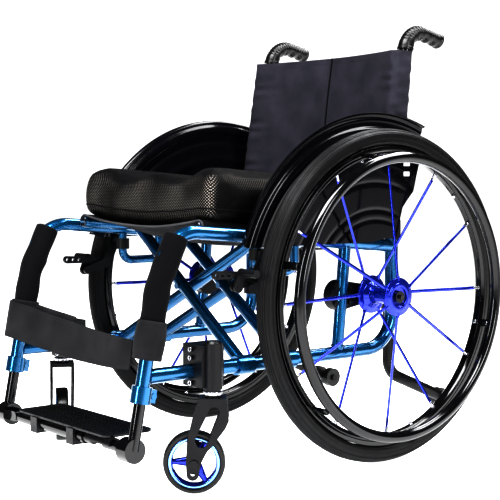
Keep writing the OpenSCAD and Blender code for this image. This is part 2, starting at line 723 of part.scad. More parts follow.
module rear_tyre(s) color(rubber) at_wheel(s) rotate_extrude() difference() {
  translate([wheel_r - tyre_w / 2, 0]) circle(d = tyre_w);
  translate([rim_or + joint_gap - tyre_w, -tyre_w]) square([tyre_w, 2 * tyre_w]);
}

module rear_rim(s) color(black) at_wheel(s) rotate_extrude()
  polygon([[rim_ir, -rim_w / 4], [rim_ir + 4, -rim_w / 2], [rim_or, -rim_w / 2], [rim_or, rim_w / 2],
    [rim_ir + 4, rim_w / 2], [rim_ir, rim_w / 4]]);

flange_t = 5;
barrel_d = 30;
hub_recess_d = 36;
hub_recess = 5;
module rear_hub(s) color(royal) at_wheel(s) difference() {
  union() {
    translate([0, 0, -hub_in]) cylinder(d = barrel_d, h = hub_in + hub_out);
    translate([0, 0, -hub_in + 3]) cylinder(d = flange_d, h = flange_t);
    translate([0, 0, hub_out - flange_t - 3]) cylinder(d = flange_d, h = flange_t);
    translate([0, 0, hub_out - 14]) cylinder(d = hub_recess_d + 8, h = 14);
    translate([0, 0, -hub_in + 3]) cylinder(d = hub_recess_d + 6, h = 12);
  }
  translate([0, 0, -2 * hub_in]) cylinder(d = axle_d + 2 * run, h = 4 * hub_in);
  translate([0, 0, hub_out - hub_recess]) cylinder(d = hub_recess_d, h = 2 * hub_recess);
  for (k = [0 : spoke_count / 2 - 1]) rotate([0, 0, (k + 0.5) * 720 / spoke_count])
    translate([flange_d / 2 - 7, 0, -2 * hub_in]) cylinder(d = 8, h = 4 * hub_in);
}

nipple_d = 7;
nipple_l = 12;
spoke_seat = 0.2;
nipple_seat = 0.5;
spoke_root = flange_d / 2 + joint_gap;
spoke_end = rim_ir - joint_gap;
flange_in_z = -hub_in + 3 + flange_t / 2;
flange_out_z = hub_out - 3 - flange_t / 2;
module spoke(z) {
  reach = [spoke_end - spoke_root, z];
  lean = atan2(z, reach[0]);
  blade_l = norm(reach) - spoke_seat - nipple_seat - nipple_l / 2;
  translate([spoke_end, 0, 0]) rotate([0, lean, 0]) {
    translate([spoke_seat - norm(reach), -spoke_w / 2, -spoke_t / 2]) cube([blade_l, spoke_w, spoke_t]);
    translate([-nipple_l - nipple_seat, 0, 0]) rotate([0, 90, 0]) cylinder(d = nipple_d, h = nipple_l);
  }
}
module rear_spokes(s) color(royal) at_wheel(s) for (k = [0 : spoke_count - 1])
  rotate([0, 0, k * 360 / spoke_count]) spoke(k % 2 == 0 ? flange_out_z : flange_in_z);

tab_w = 14;
tab_t = 6;
module handrim(s) color(black) at_wheel(s) {
  rotate_extrude() translate([handrim_d / 2 - handrim_tube / 2, handrim_gap]) circle(d = handrim_tube);
  for (k = [0 : tab_count - 1]) rotate([0, 0, (k + 0.25) * 360 / tab_count])
    translate([rim_ir + 5, -tab_w / 2, rim_w / 2 + joint_gap])
      cube([tab_t, tab_w, handrim_gap - rim_w / 2 - handrim_tube / 4]);
}

head_d = 22;
button_d = 8;
button_l = 14;
button_out = 5;
axle_head_z = hub_out - hub_recess + free_gap;
axle_head_t = 6;
module quick_axle(s) color(black) at_wheel(s) difference() {
  union() {
    translate([0, 0, frame_x - receiver_in - 3 - track / 2])
      cylinder(d = axle_d, h = track / 2 - frame_x + receiver_in + 3 + axle_head_z + 1);
    translate([0, 0, axle_head_z]) cylinder(d = head_d, h = axle_head_t);
  }
  translate([0, 0, axle_head_z + axle_head_t - button_l + button_out - button_travel - 1])
    cylinder(d = button_d + 2 * run, h = 2 * button_l);
}
module axle_button(s) color(black) at_wheel(s)
  translate([0, 0, axle_head_z + axle_head_t - button_l + button_out]) cylinder(d = button_d, h = button_l);

// Brakes: a plate clamped to the hanger, a lever and a shoe arm in front of the tyre

lever_x = brake_x + brake_t + free_gap;
shoe_x = lever_x + brake_t + free_gap;
clamp_h = 20;
clamp_wall = 5;
clamp_z = hanger_z + hanger_bend_r + 3;
clamp_block = 12;
boss_r = 9;
arm_r = 7.5;
clamp_eye = [-hanger_front_y - clamp_wall + 1, clamp_z + clamp_h / 2 - 2];
module brake_body(s) color(black) on_side(s) difference() {
  union() {
    in_plane(brake_x) linear_extrude(brake_t) {
      link2(clamp_eye, [-lever_y, lever_z], arm_r, boss_r);
      link2([-lever_y, lever_z], [-shoe_y, shoe_z], boss_r, arm_r);
    }
    translate([frame_x, -hanger_front_y, clamp_z]) cylinder(d = hanger_d + 2 * clamp_wall, h = clamp_h);
    translate([frame_x, -hanger_front_y - clamp_block / 2, clamp_z + (clamp_h - clamp_block) / 2])
      cube([brake_x - frame_x + 1, clamp_block, clamp_block]);
    in_plane(brake_x + 1) translate([-lever_y, lever_z]) cylinder(d = pin_d, h = lever_x + brake_t - brake_x);
    in_plane(brake_x + 1) translate([-shoe_y, shoe_z]) cylinder(d = pin_d, h = shoe_x + brake_t - brake_x);
  }
  in_plane(frame_x) bar2([-hanger_front_y, hanger_z], [-hanger_front_y, seat_z(-hanger_front_y)],
    hanger_d + 2 * joint_gap);
}

lever_r = 6;
lever_rise = 8;
lever_bend = [-lever_y - 0.45 * lever_l, lever_z + 0.75 * lever_rise];
lever_tip = [-lever_y - lever_l, lever_z + lever_rise];
lever_holes = 3;
lever_hole_d = 6;
lever_pitch = 13;
module brake_lever(s) color(black) on_side(s) in_plane(lever_x) linear_extrude(brake_t) difference() {
  union() {
    link2([-lever_y, lever_z], lever_bend, boss_r, lever_r);
    link2(lever_bend, lever_tip, lever_r, lever_r + 1);
  }
  translate([-lever_y, lever_z]) circle(d = pin_d + 2 * run);
  for (k = [0 : lever_holes - 1]) translate(lever_tip + k * lever_pitch * unit(lever_bend - lever_tip))
    circle(d = lever_hole_d);
}

shoe_reach = [8, 24];
shoe_bar = [-shoe_y, shoe_z] + shoe_reach;
module brake_shoe(s) color(black) on_side(s) difference() {
  union() {
    in_plane(shoe_x) linear_extrude(brake_t) link2([-shoe_y, shoe_z], shoe_bar, boss_r, arm_r);
    in_plane(shoe_x) translate(shoe_bar) cylinder(d = shoe_d, h = shoe_l + 2);
  }
  in_plane(shoe_x - 1) translate([-shoe_y, shoe_z]) cylinder(d = pin_d + 2 * run, h = brake_t + 2);
}

// Anti-tip arms behind the frame

tip_back = 22;
tip_clamp_rise = 70;
tip_top_rise = 98;
tip_drop = 56;
tip_line = post_y + tip_back;
tip_clamp_z = lower_z + tip_clamp_rise;
tip_top = [tip_line, lower_z + tip_top_rise];
tip_corner = [tip_line, lower_z - tip_drop];
tip_bend_r = 40;
tip_clamp_h = 24;
tip_clamp_wall = 5;
tip_path = [tip_top, tip_corner, [roller_y, roller_z]];
roller_gap = 1;
roller_cap = 4;
cap_d = 13;
module antitip_tube(s) color(black) on_side(s) {
  in_plane(tip_x) bent_bar(tip_path, [tip_bend_r], tip_d);
  translate([0, 0, tip_clamp_z]) linear_extrude(tip_clamp_h) difference() {
    link2([frame_x, post_y], [tip_x, tip_line], lower_d / 2 + tip_clamp_wall, tip_d / 2 + tip_clamp_wall);
    translate([frame_x, post_y]) circle(d = lower_d + 2 * joint_gap);
  }
  translate([tip_x - tip_d / 2 - roller_w - roller_cap, roller_y, roller_z]) rotate([0, 90, 0])
    cylinder(d = pin_d, h = tip_d + 2 * roller_w + 2 * roller_cap);
  translate([tip_x - tip_d / 2 - roller_gap / 2, roller_y, roller_z]) rotate([0, 90, 0])
    cylinder(d = tip_d + 2, h = tip_d + roller_gap);
  for (m = [-1, 1])
    translate([tip_x + m * (tip_d / 2 + roller_w + roller_cap) - roller_cap / 2, roller_y, roller_z])
      rotate([0, 90, 0]) cylinder(d = cap_d, h = roller_cap);
}
module antitip_rollers(s) color(rubber) on_side(s) for (m = [-1, 1])
  translate([tip_x + m * (tip_d / 2 + roller_w / 2 + roller_gap) - roller_w / 2, roller_y, roller_z])
    rotate([0, 90, 0]) difference() {
      cylinder(d = roller_d, h = roller_w);
      translate([0, 0, -1]) cylinder(d = pin_d + 2 * run, h = roller_w + 2);
    }

// Cross braces: each has two tubes, sleeves on its own lower rail and a seat tube on the other side

brace_sleeve_d = lower_d + 2 * run + 2 * sleeve_wall;
seat_tube_front = 370;
seat_tube_rear = 38;
pivot_d = 12;
function tube_z(y) = seat_line - y * tan(seat_slope);
// s is the side of the lower rail that the brace turns on, y the places of its two tubes
module brace(s, ys) {
  dir = s > 0 ? 1 : -1;
  difference() {
    union() {
      for (y = ys) {
        low = [dir * frame_x, y, lower_z];
        top = [-dir * seat_tube_x, y + brace_rake, tube_z(y + brace_rake)];
        run_up = top - low;
        middle = low + run_up * frame_x / (frame_x + seat_tube_x);
        translate([0, axle_y, 0] + low)
          rotate([0, acos(run_up[2] / norm(run_up)), atan2(run_up[1], run_up[0])])
            cylinder(d = brace_d, h = norm(run_up));
        translate([dir * frame_x, axle_y + y + sleeve_l / 2, lower_z]) rotate([90, 0, 0])
          cylinder(d = brace_sleeve_d, h = sleeve_l);
        translate(middle + [0, axle_y + s * (brace_step / 2 - 1), 0])
          rotate([s * 90, 0, 0]) cylinder(d = pivot_d, h = brace_step / 2 + brace_d / 2 + 4);
      }
      on_seat() translate([-dir * seat_tube_x, -seat_tube_front, 0]) rotate([-90, 0, 0])
        cylinder(d = seat_tube_d, h = seat_tube_front + seat_tube_rear);
    }
    translate([dir * frame_x, axle_y, lower_z]) rotate([90, 0, 0])
      cylinder(d = lower_d + 2 * run, h = 2 * brace_y);
  }
}
module brace_a() color(blue) brace(1, [-brace_y, -brace_y + brace_pitch]);
module brace_b() color(blue) brace(-1, [-brace_y + brace_step, -brace_y + brace_step + brace_pitch]);

// Footrest: a bar hinged on the right knuckle and a ridged plate on it

bar_gap = 36;
bar_thin_l = 24;
bar_tip = knuckle_x - knuckle_w / 2 - stub_l - bar_gap;
bar_thick_end = bar_tip - bar_thin_l;
plate_z = bar_z + bar_d / 2 + free_gap;
module foot_bar() color(black) translate([0, axle_y + knuckle[0], bar_z]) {
  difference() {
    union() {
      translate([-bar_start, 0, 0]) rotate([0, 90, 0])
        cylinder(d = bar_d, h = bar_start + bar_thick_end);
      translate([-foot_hinge_x, hinge_w / 2, 0]) rotate([90, 0, 0]) cylinder(d = hinge_d, h = hinge_w);
      translate([-foot_hinge_x, -hinge_w / 2, -hinge_d / 2 + 2])
        cube([hinge_d / 2 + 5, hinge_w, hinge_d - 4]);
      translate([bar_thick_end - 1, 0, 0]) rotate([0, 90, 0])
        cylinder(d = bar_thin_d, h = bar_tip - bar_thick_end + 1);
    }
    translate([-foot_hinge_x, hinge_w, 0]) rotate([90, 0, 0]) cylinder(d = pin_d + 2 * run, h = 2 * hinge_w);
  }
}

// Ridged plate with two saddles on the bar and a half-round keeper over the left stub
plate_front = 13;
plate_margin = 18;
ridge_w = 3;
ridge_h = 1;
ridge_pitch = plate_w / (ridge_count + 1);
saddle_w = 22;
keeper_lap = 12;
keeper_gap = 31;
keeper_in = bar_tip - keeper_lap;
keeper_out = knuckle_x - knuckle_w / 2 - keeper_gap;
keeper_wall = 3;
bar_start = foot_hinge_x - hinge_d / 2 - 4;
plate_right = bar_start;
plate_l = plate_right + knuckle_x - knuckle_w / 2 - plate_gap;
saddle_in = [70, 42];
saddles = [saddle_in[0] - foot_hinge_x, bar_thick_end - saddle_in[1]];
module footplate() color(black) translate([0, axle_y + knuckle[0], 0]) {
  translate([-plate_right + plate_l / 2, plate_w / 2 - plate_front, plate_z]) {
    linear_extrude(plate_t) round_rect(plate_l, plate_w, 16);
    for (k = [1 : ridge_count])
      translate([-plate_l / 2 + plate_margin, -plate_w / 2 + k * ridge_pitch - ridge_w / 2, plate_t])
        cube([plate_l - 2 * plate_margin, ridge_w, ridge_h]);
  }
  for (x = saddles) difference() {
    translate([x, -bar_d / 2 - 4, bar_z - bar_d / 2 - 4]) cube([saddle_w, bar_d + 8, bar_d + 4 + free_gap]);
    translate([x - 1, 0, bar_z]) rotate([0, 90, 0]) cylinder(d = bar_d + 2 * joint_gap, h = saddle_w + 2);
  }
  difference() {
    translate([keeper_in, 0, bar_z]) rotate([0, 90, 0])
      cylinder(d = bar_thin_d + 2 * free_gap + 2 * keeper_wall, h = keeper_out - keeper_in);
    translate([keeper_in - 1, 0, bar_z]) rotate([0, 90, 0])
      cylinder(d = bar_thin_d + 2 * free_gap, h = keeper_out - keeper_in + 2);
    translate([keeper_in - 1, -bar_d, bar_z - 2 * bar_d]) cube([keeper_out, 2 * bar_d, 2 * bar_d]);
  }
}

// Soft parts

// Seat sling: hooked over both seat tubes and hanging between them
hang_steps = 14;
hook_steps = 7;
sling_n = hang_steps + 2 * hook_steps + 1;
sling_m = 9;
hook_turn = 130;
sling_r = seat_tube_d / 2 + free_gap;
// The sag grows from the front edge over this length
sag_run = 150;
function sag_at(y) = front_sag + (sling_sag - front_sag) * sin(90 * min(1, (y + sling_front) / sag_run));
function hang_a(sag) = atan(2.1 * sag / seat_tube_x);
function hang_x(sag) = seat_tube_x - sling_r * sin(hang_a(sag));
// Place across the seat of a column of points: -1 to 1 between the tubes, beyond that round a tube
function sling_u(i) = let(k = i - hook_steps - hang_steps / 2, over = abs(k) - hang_steps / 2)
  over <= 0 ? k * 2 / hang_steps : sign(k) * (1 + over / hook_steps);
function hook_a(u, sag) = (abs(u) - 1) * (hook_turn + hang_a(sag)) - hang_a(sag);
function sling_x(u, sag) = abs(u) < 1 ? hang_x(sag) * u
  : sign(u) * (seat_tube_x + sling_r * sin(hook_a(u, sag)));
function sling_z(u, sag) = abs(u) < 1 ? sling_r * cos(hang_a(sag)) - sag * (1 - u * u)
  : sling_r * cos(hook_a(u, sag));
function sling_angle(u, sag) = abs(u) < 1 ? atan2(2 * sag * u, hang_x(sag)) : -sign(u) * hook_a(u, sag);
sling_grid = [for (side = [sling_t, 0], j = [0 : sling_m - 1], i = [0 : sling_n - 1])
  let(u = sling_u(i), y = -sling_front + j * (sling_front + seat_tube_rear) / (sling_m - 1),
    sag = sag_at(y), a = sling_angle(u, sag))
  [sling_x(u, sag) - side * sin(a), y, sling_z(u, sag) + side * cos(a)]];
module seat_sling() color(cloth) on_seat() polyhedron(sling_grid, grid_faces(sling_n, sling_m));

// Cushion: flat below, crowned above, with raised sides and sides that draw in
cushion_n = 27;
cushion_m = 23;
edge_power = 8;
side_pull = 6;
function spread(i, n) = sin(90 * (2 * i / (n - 1) - 1));
function edge(u, v) = pow(max(0, 1 - pow(abs(u), edge_power)) * max(0, 1 - pow(abs(v), edge_power)), 0.32);
function bolster(u) = bolster_h * (pow(sin(90 * min(1, abs(u) / 0.8)), 4) - 0.4);
cushion_lift = seat_tube_d / 2 + free_gap + sling_t + free_gap;
cushion_seam = 0.42 * cushion_t;
cushion_grid = [for (top = [1, 0], j = [0 : cushion_m - 1], i = [0 : cushion_n - 1])
  let(u = spread(i, cushion_n), v = spread(j, cushion_m), e = edge(u, v),
    x = u * (cushion_w / 2 - side_pull * (1 - v * v)), y = v * (cushion_l / 2 - side_pull * (1 - u * u)),
    z = top == 1 ? (cushion_t - cushion_seam + bolster(u)) * e + 1 : -cushion_seam * min(1, 1.15 * e))
  [x, y, cushion_seam + z]];
module cushion() color(black) on_seat() translate([0, cushion_l / 2 - cushion_front, cushion_lift])
  polyhedron(cushion_grid, grid_faces(cushion_n, cushion_m));

// Back sling: a panel in front of the posts and a deep sleeve round each post
back_n = 15;
back_m = 12;
sleeve_t = 2.4;
sleeve_low_z = 500;
sleeve_deep = 22;
sleeve_end = 6;
crease_h = 1;
sleeve_r = back_d / 2 + sleeve_t + joint_gap;
// The panel is sewn a little into the front of each sleeve
sleeve_sew = 0.6;
sleeve_face = (sleeve_deep + sleeve_r) / cos(back_lean) - sleeve_sew;
function back_x(z) = frame_x - (z - post_top_z) * tan(back_in);
function crease(t, h) = crease_h * pow(abs(t), 6) * (1 + sin(1440 * h));
function back_front(t, h, z) = back_y(z) - sleeve_face + back_sag * (1 - t * t) - crease(t, h);
back_grid = [for (front = [1, 0], j = [0 : back_m - 1], i = [0 : back_n - 1])
  let(t = 2 * i / (back_n - 1) - 1, h = j / (back_m - 1), z = back_low_z + h * (back_top_z - back_low_z))
  [t * back_x(z), back_front(t, h, z) - back_t * front, z]];
// Frame on a back post at height z: local +Z runs up the post
module along_post(z) translate([frame_x, 0, post_top_z]) rotate([0, -back_in, 0])
  translate([0, back_y(z), z - post_top_z]) rotate([-back_lean, 0, 0]) children();
module back_sling() color(cloth) {
  translate([0, axle_y, 0]) polyhedron(back_grid, grid_faces(back_n, back_m));
  for (s = [-1, 1]) on_side(s) along_post(sleeve_low_z)
    linear_extrude((back_top_z - sleeve_end - sleeve_low_z) / cos(back_lean)) difference() {
      link2([0, 0], [0, -sleeve_deep], sleeve_r, sleeve_r);
      circle(d = back_d + 2 * joint_gap);
    }
}

// Calf strap: a band in front of the legs, with a loop round each leg
strap_n = 25;
strap_hole_d = pad_d + 2 * joint_gap;
strap_loop_d = strap_hole_d + 2 * strap_t;
strap_taper = 9;
strap_bow = 12;
// The band hangs askew: it is lowest and narrowest towards the left leg
function strap_low(t) = strap_sag * sin(56 * (t + 1));
function strap_half(t) = strap_h / 2 - strap_taper * pow((t + 1) / 2, 2);
strap_grid = [for (front = [1, 0], j = [-1, 1], i = [0 : strap_n - 1])
  let(t = 2 * i / (strap_n - 1) - 1, z = strap_z - strap_low(t) + j * strap_half(t),
    y = leg_y(z) - strap_loop_d / 2 / cos(leg_lean) - free_gap + strap_bow * (1 - t * t))
  [t * frame_x, y - strap_t * front, z]];
module calf_strap() color(cloth) {
  translate([0, axle_y, 0]) polyhedron(strap_grid, grid_faces(strap_n, 2));
  for (s = [-1, 1]) on_side(s) along_leg(strap_z - strap_h / 2) difference() {
    cylinder(d = strap_loop_d, h = strap_h);
    translate([0, 0, -1]) cylinder(d = strap_hole_d, h = strap_h + 2);
  }
}

seat_rail(1);  // seat_rail_l
seat_rail(-1);  // seat_rail_r
lower_rail(1);  // lower_rail_l
lower_rail(-1);  // lower_rail_r
axle_upright(1);  // axle_upright_l
axle_upright(-1);  // axle_upright_r
leg_clamp(1);  // leg_clamp_l
leg_clamp(-1);  // leg_clamp_r
foot_tube(1);  // foot_tube_l
foot_tube(-1);  // foot_tube_r
leg_pad(1);  // leg_pad_l
leg_pad(-1);  // leg_pad_r
back_post(1);  // back_post_l
back_post(-1);  // back_post_r
push_grip(1);  // push_grip_l
push_grip(-1);  // push_grip_r
side_guard(1);  // side_guard_l
side_guard(-1);  // side_guard_r
axle_block(1);  // axle_block_l
axle_block(-1);  // axle_block_r
caster_bracket(1);  // caster_bracket_l
caster_bracket(-1);  // caster_bracket_r
caster_fork(1);  // caster_fork_l
caster_fork(-1);  // caster_fork_r
caster_rim(1);  // caster_rim_l
caster_rim(-1);  // caster_rim_r
caster_tyre(1);  // caster_tyre_l
caster_tyre(-1);  // caster_tyre_r
rear_tyre(1);  // rear_tyre_l
rear_tyre(-1);  // rear_tyre_r
rear_rim(1);  // rear_rim_l
rear_rim(-1);  // rear_rim_r
rear_hub(1);  // rear_hub_l
rear_hub(-1);  // rear_hub_r
rear_spokes(1);  // rear_spokes_l
rear_spokes(-1);  // rear_spokes_r
handrim(1);  // handrim_l
handrim(-1);  // handrim_r
quick_axle(1);  // quick_axle_l
quick_axle(-1);  // quick_axle_r
axle_button(1);  // axle_button_l
axle_button(-1);  // axle_button_r
brake_body(1);  // brake_body_l
brake_body(-1);  // brake_body_r
brake_lever(1);  // brake_lever_l
brake_lever(-1);  // brake_lever_r
brake_shoe(1);  // brake_shoe_l
brake_shoe(-1);  // brake_shoe_r
antitip_tube(1);  // antitip_tube_l
antitip_tube(-1);  // antitip_tube_r
antitip_rollers(1);  // antitip_rollers_l
antitip_rollers(-1);  // antitip_rollers_r
brace_a();
brace_b();
seat_sling();
cushion();
back_sling();
calf_strap();
foot_bar();
footplate();
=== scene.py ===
"""Looks of a folding sports wheelchair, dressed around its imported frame.

Sizes are millimetres about the rear axle line, as on a drawing of the chair: +X is the user's left, -Y the
front and +Z up. A Shape turns them into metres in the frame's own axes when it becomes a piece.
"""

import json
import logging
import math
from dataclasses import dataclass
from enum import Enum
from typing import Callable, Iterable, Protocol, Sequence

import bmesh
import bpy
import numpy as np
from mathutils import Matrix, Vector
from mathutils.bvhtree import BVHTree

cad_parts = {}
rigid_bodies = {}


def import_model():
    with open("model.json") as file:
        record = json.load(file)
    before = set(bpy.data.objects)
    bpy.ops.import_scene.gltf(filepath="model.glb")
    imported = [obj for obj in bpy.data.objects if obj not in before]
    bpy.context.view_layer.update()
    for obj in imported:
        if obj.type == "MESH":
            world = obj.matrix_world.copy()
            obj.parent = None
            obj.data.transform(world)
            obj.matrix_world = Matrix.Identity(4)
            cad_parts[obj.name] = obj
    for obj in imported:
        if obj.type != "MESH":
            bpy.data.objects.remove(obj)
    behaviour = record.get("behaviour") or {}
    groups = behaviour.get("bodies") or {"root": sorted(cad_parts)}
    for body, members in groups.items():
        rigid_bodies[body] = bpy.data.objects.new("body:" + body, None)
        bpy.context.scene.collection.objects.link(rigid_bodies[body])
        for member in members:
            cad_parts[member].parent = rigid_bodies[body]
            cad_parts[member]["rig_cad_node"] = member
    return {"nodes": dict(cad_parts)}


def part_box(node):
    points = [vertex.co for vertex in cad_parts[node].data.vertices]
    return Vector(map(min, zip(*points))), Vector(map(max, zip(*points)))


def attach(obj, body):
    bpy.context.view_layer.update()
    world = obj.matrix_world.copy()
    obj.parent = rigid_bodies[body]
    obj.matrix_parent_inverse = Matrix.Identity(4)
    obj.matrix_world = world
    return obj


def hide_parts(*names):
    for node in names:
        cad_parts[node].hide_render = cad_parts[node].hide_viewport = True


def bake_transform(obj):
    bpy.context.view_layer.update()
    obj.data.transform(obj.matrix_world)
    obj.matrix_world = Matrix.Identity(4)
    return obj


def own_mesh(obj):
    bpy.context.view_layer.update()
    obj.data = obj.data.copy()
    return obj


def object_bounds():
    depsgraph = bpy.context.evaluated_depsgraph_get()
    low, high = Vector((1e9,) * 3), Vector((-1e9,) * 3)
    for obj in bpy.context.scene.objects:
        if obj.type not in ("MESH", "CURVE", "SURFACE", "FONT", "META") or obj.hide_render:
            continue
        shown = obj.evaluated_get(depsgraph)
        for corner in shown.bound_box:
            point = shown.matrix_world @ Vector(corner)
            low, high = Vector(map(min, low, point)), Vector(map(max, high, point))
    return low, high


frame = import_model()
CAD_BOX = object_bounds()

log = logging.getLogger("wheelchair")

MM = 0.001
TYRE_LOW, TYRE_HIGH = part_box("rear_tyre_l")
AXLE_Y = (TYRE_LOW.y + TYRE_HIGH.y) / 2
WHEEL_R = (TYRE_HIGH.z - TYRE_LOW.z) / 2 / MM
WHEEL_X = (TYRE_LOW.x + TYRE_HIGH.x) / 2 / MM
X_AXIS, Z_AXIS, FORWARD = Vector((1, 0, 0)), Vector((0, 0, 1)), Vector((0, -1, 0))

Colour = tuple[float, float, float]
Place = tuple[float, float, float]
Pair = tuple[float, float]
Profile = Sequence[Pair]
Rows = Sequence[Sequence[Vector]]
Radius = Callable[[float, float], float]
Socket = bpy.types.NodeSocket
Piece = bpy.types.Object


class SubAssembly(Protocol):
    """Anything that builds pieces of the chair."""

    def build(self) -> list[Piece]:
        """Builds the pieces and returns them."""


class Side(Enum):
    """The two sides of the chair; the value is the sign of X."""

    LEFT = 1
    RIGHT = -1

    def node(self, name: str) -> str:
        """Name of a node or a piece on this side."""
        return f"{name}_{self.name[0].lower()}"

    def body(self, name: str) -> str:
        """Name of a body on this side."""
        return f"{self.name.lower()}_{name}"


class Axes(Enum):
    """The two directions of the frame that a woven cloth's threads follow."""

    ACROSS_UP = ("X", "Z")
    ACROSS_ALONG = ("X", "Y")
    ALONG_UP = ("Y", "Z")


class NodeKit:
    """Short calls for building the nodes of one material."""

    def __init__(self, name: str) -> None:
        """Starts a material with a shader and its coordinates.

        Args:
            name: Name of the material.
        """
        self.material = bpy.data.materials.new(name)
        self.material.use_nodes = True
        self.tree = self.material.node_tree
        self.tree.nodes.clear()
        self.shader = self.add("ShaderNodeBsdfPrincipled")
        output = self.add("ShaderNodeOutputMaterial")
        self.tree.links.new(self.shader.outputs["BSDF"], output.inputs["Surface"])
        self.coords = self.add("ShaderNodeTexCoord").outputs["Object"]

    def add(self, kind: str, **settings: object) -> bpy.types.Node:
        """Adds a node.

        Args:
            kind: Type name of the node.
            settings: Properties to set on it.

        Returns:
            The new node.
        """
        node = self.tree.nodes.new(kind)
        for key, value in settings.items():
            setattr(node, key, value)
        return node

    def feed(self, socket: Socket, value: object) -> None:
        """Links a socket into another, or sets a plain value on it.

        Args:
            socket: Input socket.
            value: Output socket, number or colour.
        """
        if isinstance(value, Socket):
            self.tree.links.new(value, socket)
        else:
            socket.default_value = value

    def set(self, **values: object) -> None:
        """Sets the shader's own sockets; an underscore in a name stands for a space.

        Args:
            values: Socket names with their values.
        """
        for key, value in values.items():
            if isinstance(value, tuple) and len(value) == 3:
                value = (*value, 1.0)
            self.feed(self.shader.inputs[key.replace("_", " ")], value)

    def noise(self, scale: float, detail: float = 3.0) -> Socket:
        """Noise over the surface.

        Args:
            scale: Grains in a metre.
            detail: Layers of finer noise.

        Returns:
            The value socket, about 0 to 1.
        """
        node = self.add("ShaderNodeTexNoise")
        self.feed(node.inputs["Vector"], self.coords)
        node.inputs["Scale"].default_value = scale
        node.inputs["Detail"].default_value = detail
        return node.outputs["Fac"]

    def math(self, operation: str, first: object, second: object = 0.0) -> Socket:
        """One sum of two values.

        Args:
            operation: Blender's name of the operation.
            first: Socket or number.
            second: Socket or number.

        Returns:
            The value socket.
        """
        node = self.add("ShaderNodeMath", operation=operation)
        self.feed(node.inputs[0], first)
        self.feed(node.inputs[1], second)
        return node.outputs[0]

    def hide(self, value: object, where: object, share: float) -> Socket:
        """Lowers a value by a share of itself where another value is 1.

        Args:
            value: Socket to lower.
            where: Socket from 0 to 1.
            share: Share that goes.

        Returns:
            The value socket.
        """
        left = self.math("SUBTRACT", 1.0, self.math("MULTIPLY", where, share))
        return self.math("MULTIPLY", value, left)

    def weigh(self, first: object, second: object, share: float) -> Socket:
        """Adds up two values by their weights.

        Args:
            first: Socket that has the given share.
            second: Socket that has the rest.
            share: Weight of the first.

        Returns:
            The value socket.
        """
        rest = self.math("MULTIPLY", second, 1 - share)
        return self.math("ADD", self.math("MULTIPLY", first, share), rest)

    def spread(self, value: object, low: float, high: float, to_low: float = 0.0,
               to_high: float = 1.0) -> Socket:
        """Maps a range of values onto another, without passing its ends.

        Args:
            value: Socket to map.
            low: Value that becomes to_low.
            high: Value that becomes to_high.
            to_low: First end of the result.
            to_high: Second end of the result.

        Returns:
            The value socket.
        """
        node = self.add("ShaderNodeMapRange")
        self.feed(node.inputs["Value"], value)
        ends = {"From Min": low, "From Max": high, "To Min": to_low, "To Max": to_high}
        for name, number in ends.items():
            node.inputs[name].default_value = number
        return node.outputs["Result"]

    def mix(self, share: object, first: object, second: object) -> Socket:
        """Mixes two colours.

        Args:
            share: Share of the second colour.
            first: Colour or socket.
            second: Colour or socket.

        Returns:
            The colour socket.
        """
        node = self.add("ShaderNodeMix", data_type="RGBA")
        self.feed(node.inputs["Factor"], share)
        for socket, colour in ((node.inputs[6], first), (node.inputs[7], second)):
            self.feed(socket, (*colour, 1.0) if isinstance(colour, tuple) else colour)
        return node.outputs[2]

    def choose(self, test: object, no: object, yes: object) -> Socket:
        """One of two values.

        Args:
            test: Socket of 0 or 1.
            no: Value at 0.
            yes: Value at 1.

        Returns:
            The value socket.
        """
        node = self.add("ShaderNodeMix", data_type="FLOAT")
        for socket, value in ((node.inputs["Factor"], test), (node.inputs[2], no), (node.inputs[3], yes)):
            self.feed(socket, value)
        return node.outputs[0]

    def split(self, vector: Socket) -> dict[str, Socket]:
        """The three parts of a vector.

        Args:
            vector: Socket to split.

        Returns:
            The value sockets by the names X, Y and Z.
        """
        node = self.add("ShaderNodeSeparateXYZ")
        self.feed(node.inputs["Vector"], vector)
        return {name: node.outputs[name] for name in "XYZ"}

    def waves(self, part: object, pitch: float) -> Socket:
        """Waves of a pitch in millimetres along one coordinate, from -1 to 1."""
        return self.math("SINE", self.math("MULTIPLY", part, 2 * math.pi / (pitch * MM)))

    def bump(self, height: Socket, depth: float) -> None:
        """Raises the surface by a value.

        Args:
            height: Socket from 0 to 1.
            depth: Height in millimetres.
        """
        node = self.add("ShaderNodeBump")
        node.inputs["Distance"].default_value = depth * MM
        self.feed(node.inputs["Height"], height)
        self.feed(self.shader.inputs["Normal"], node.outputs["Normal"])


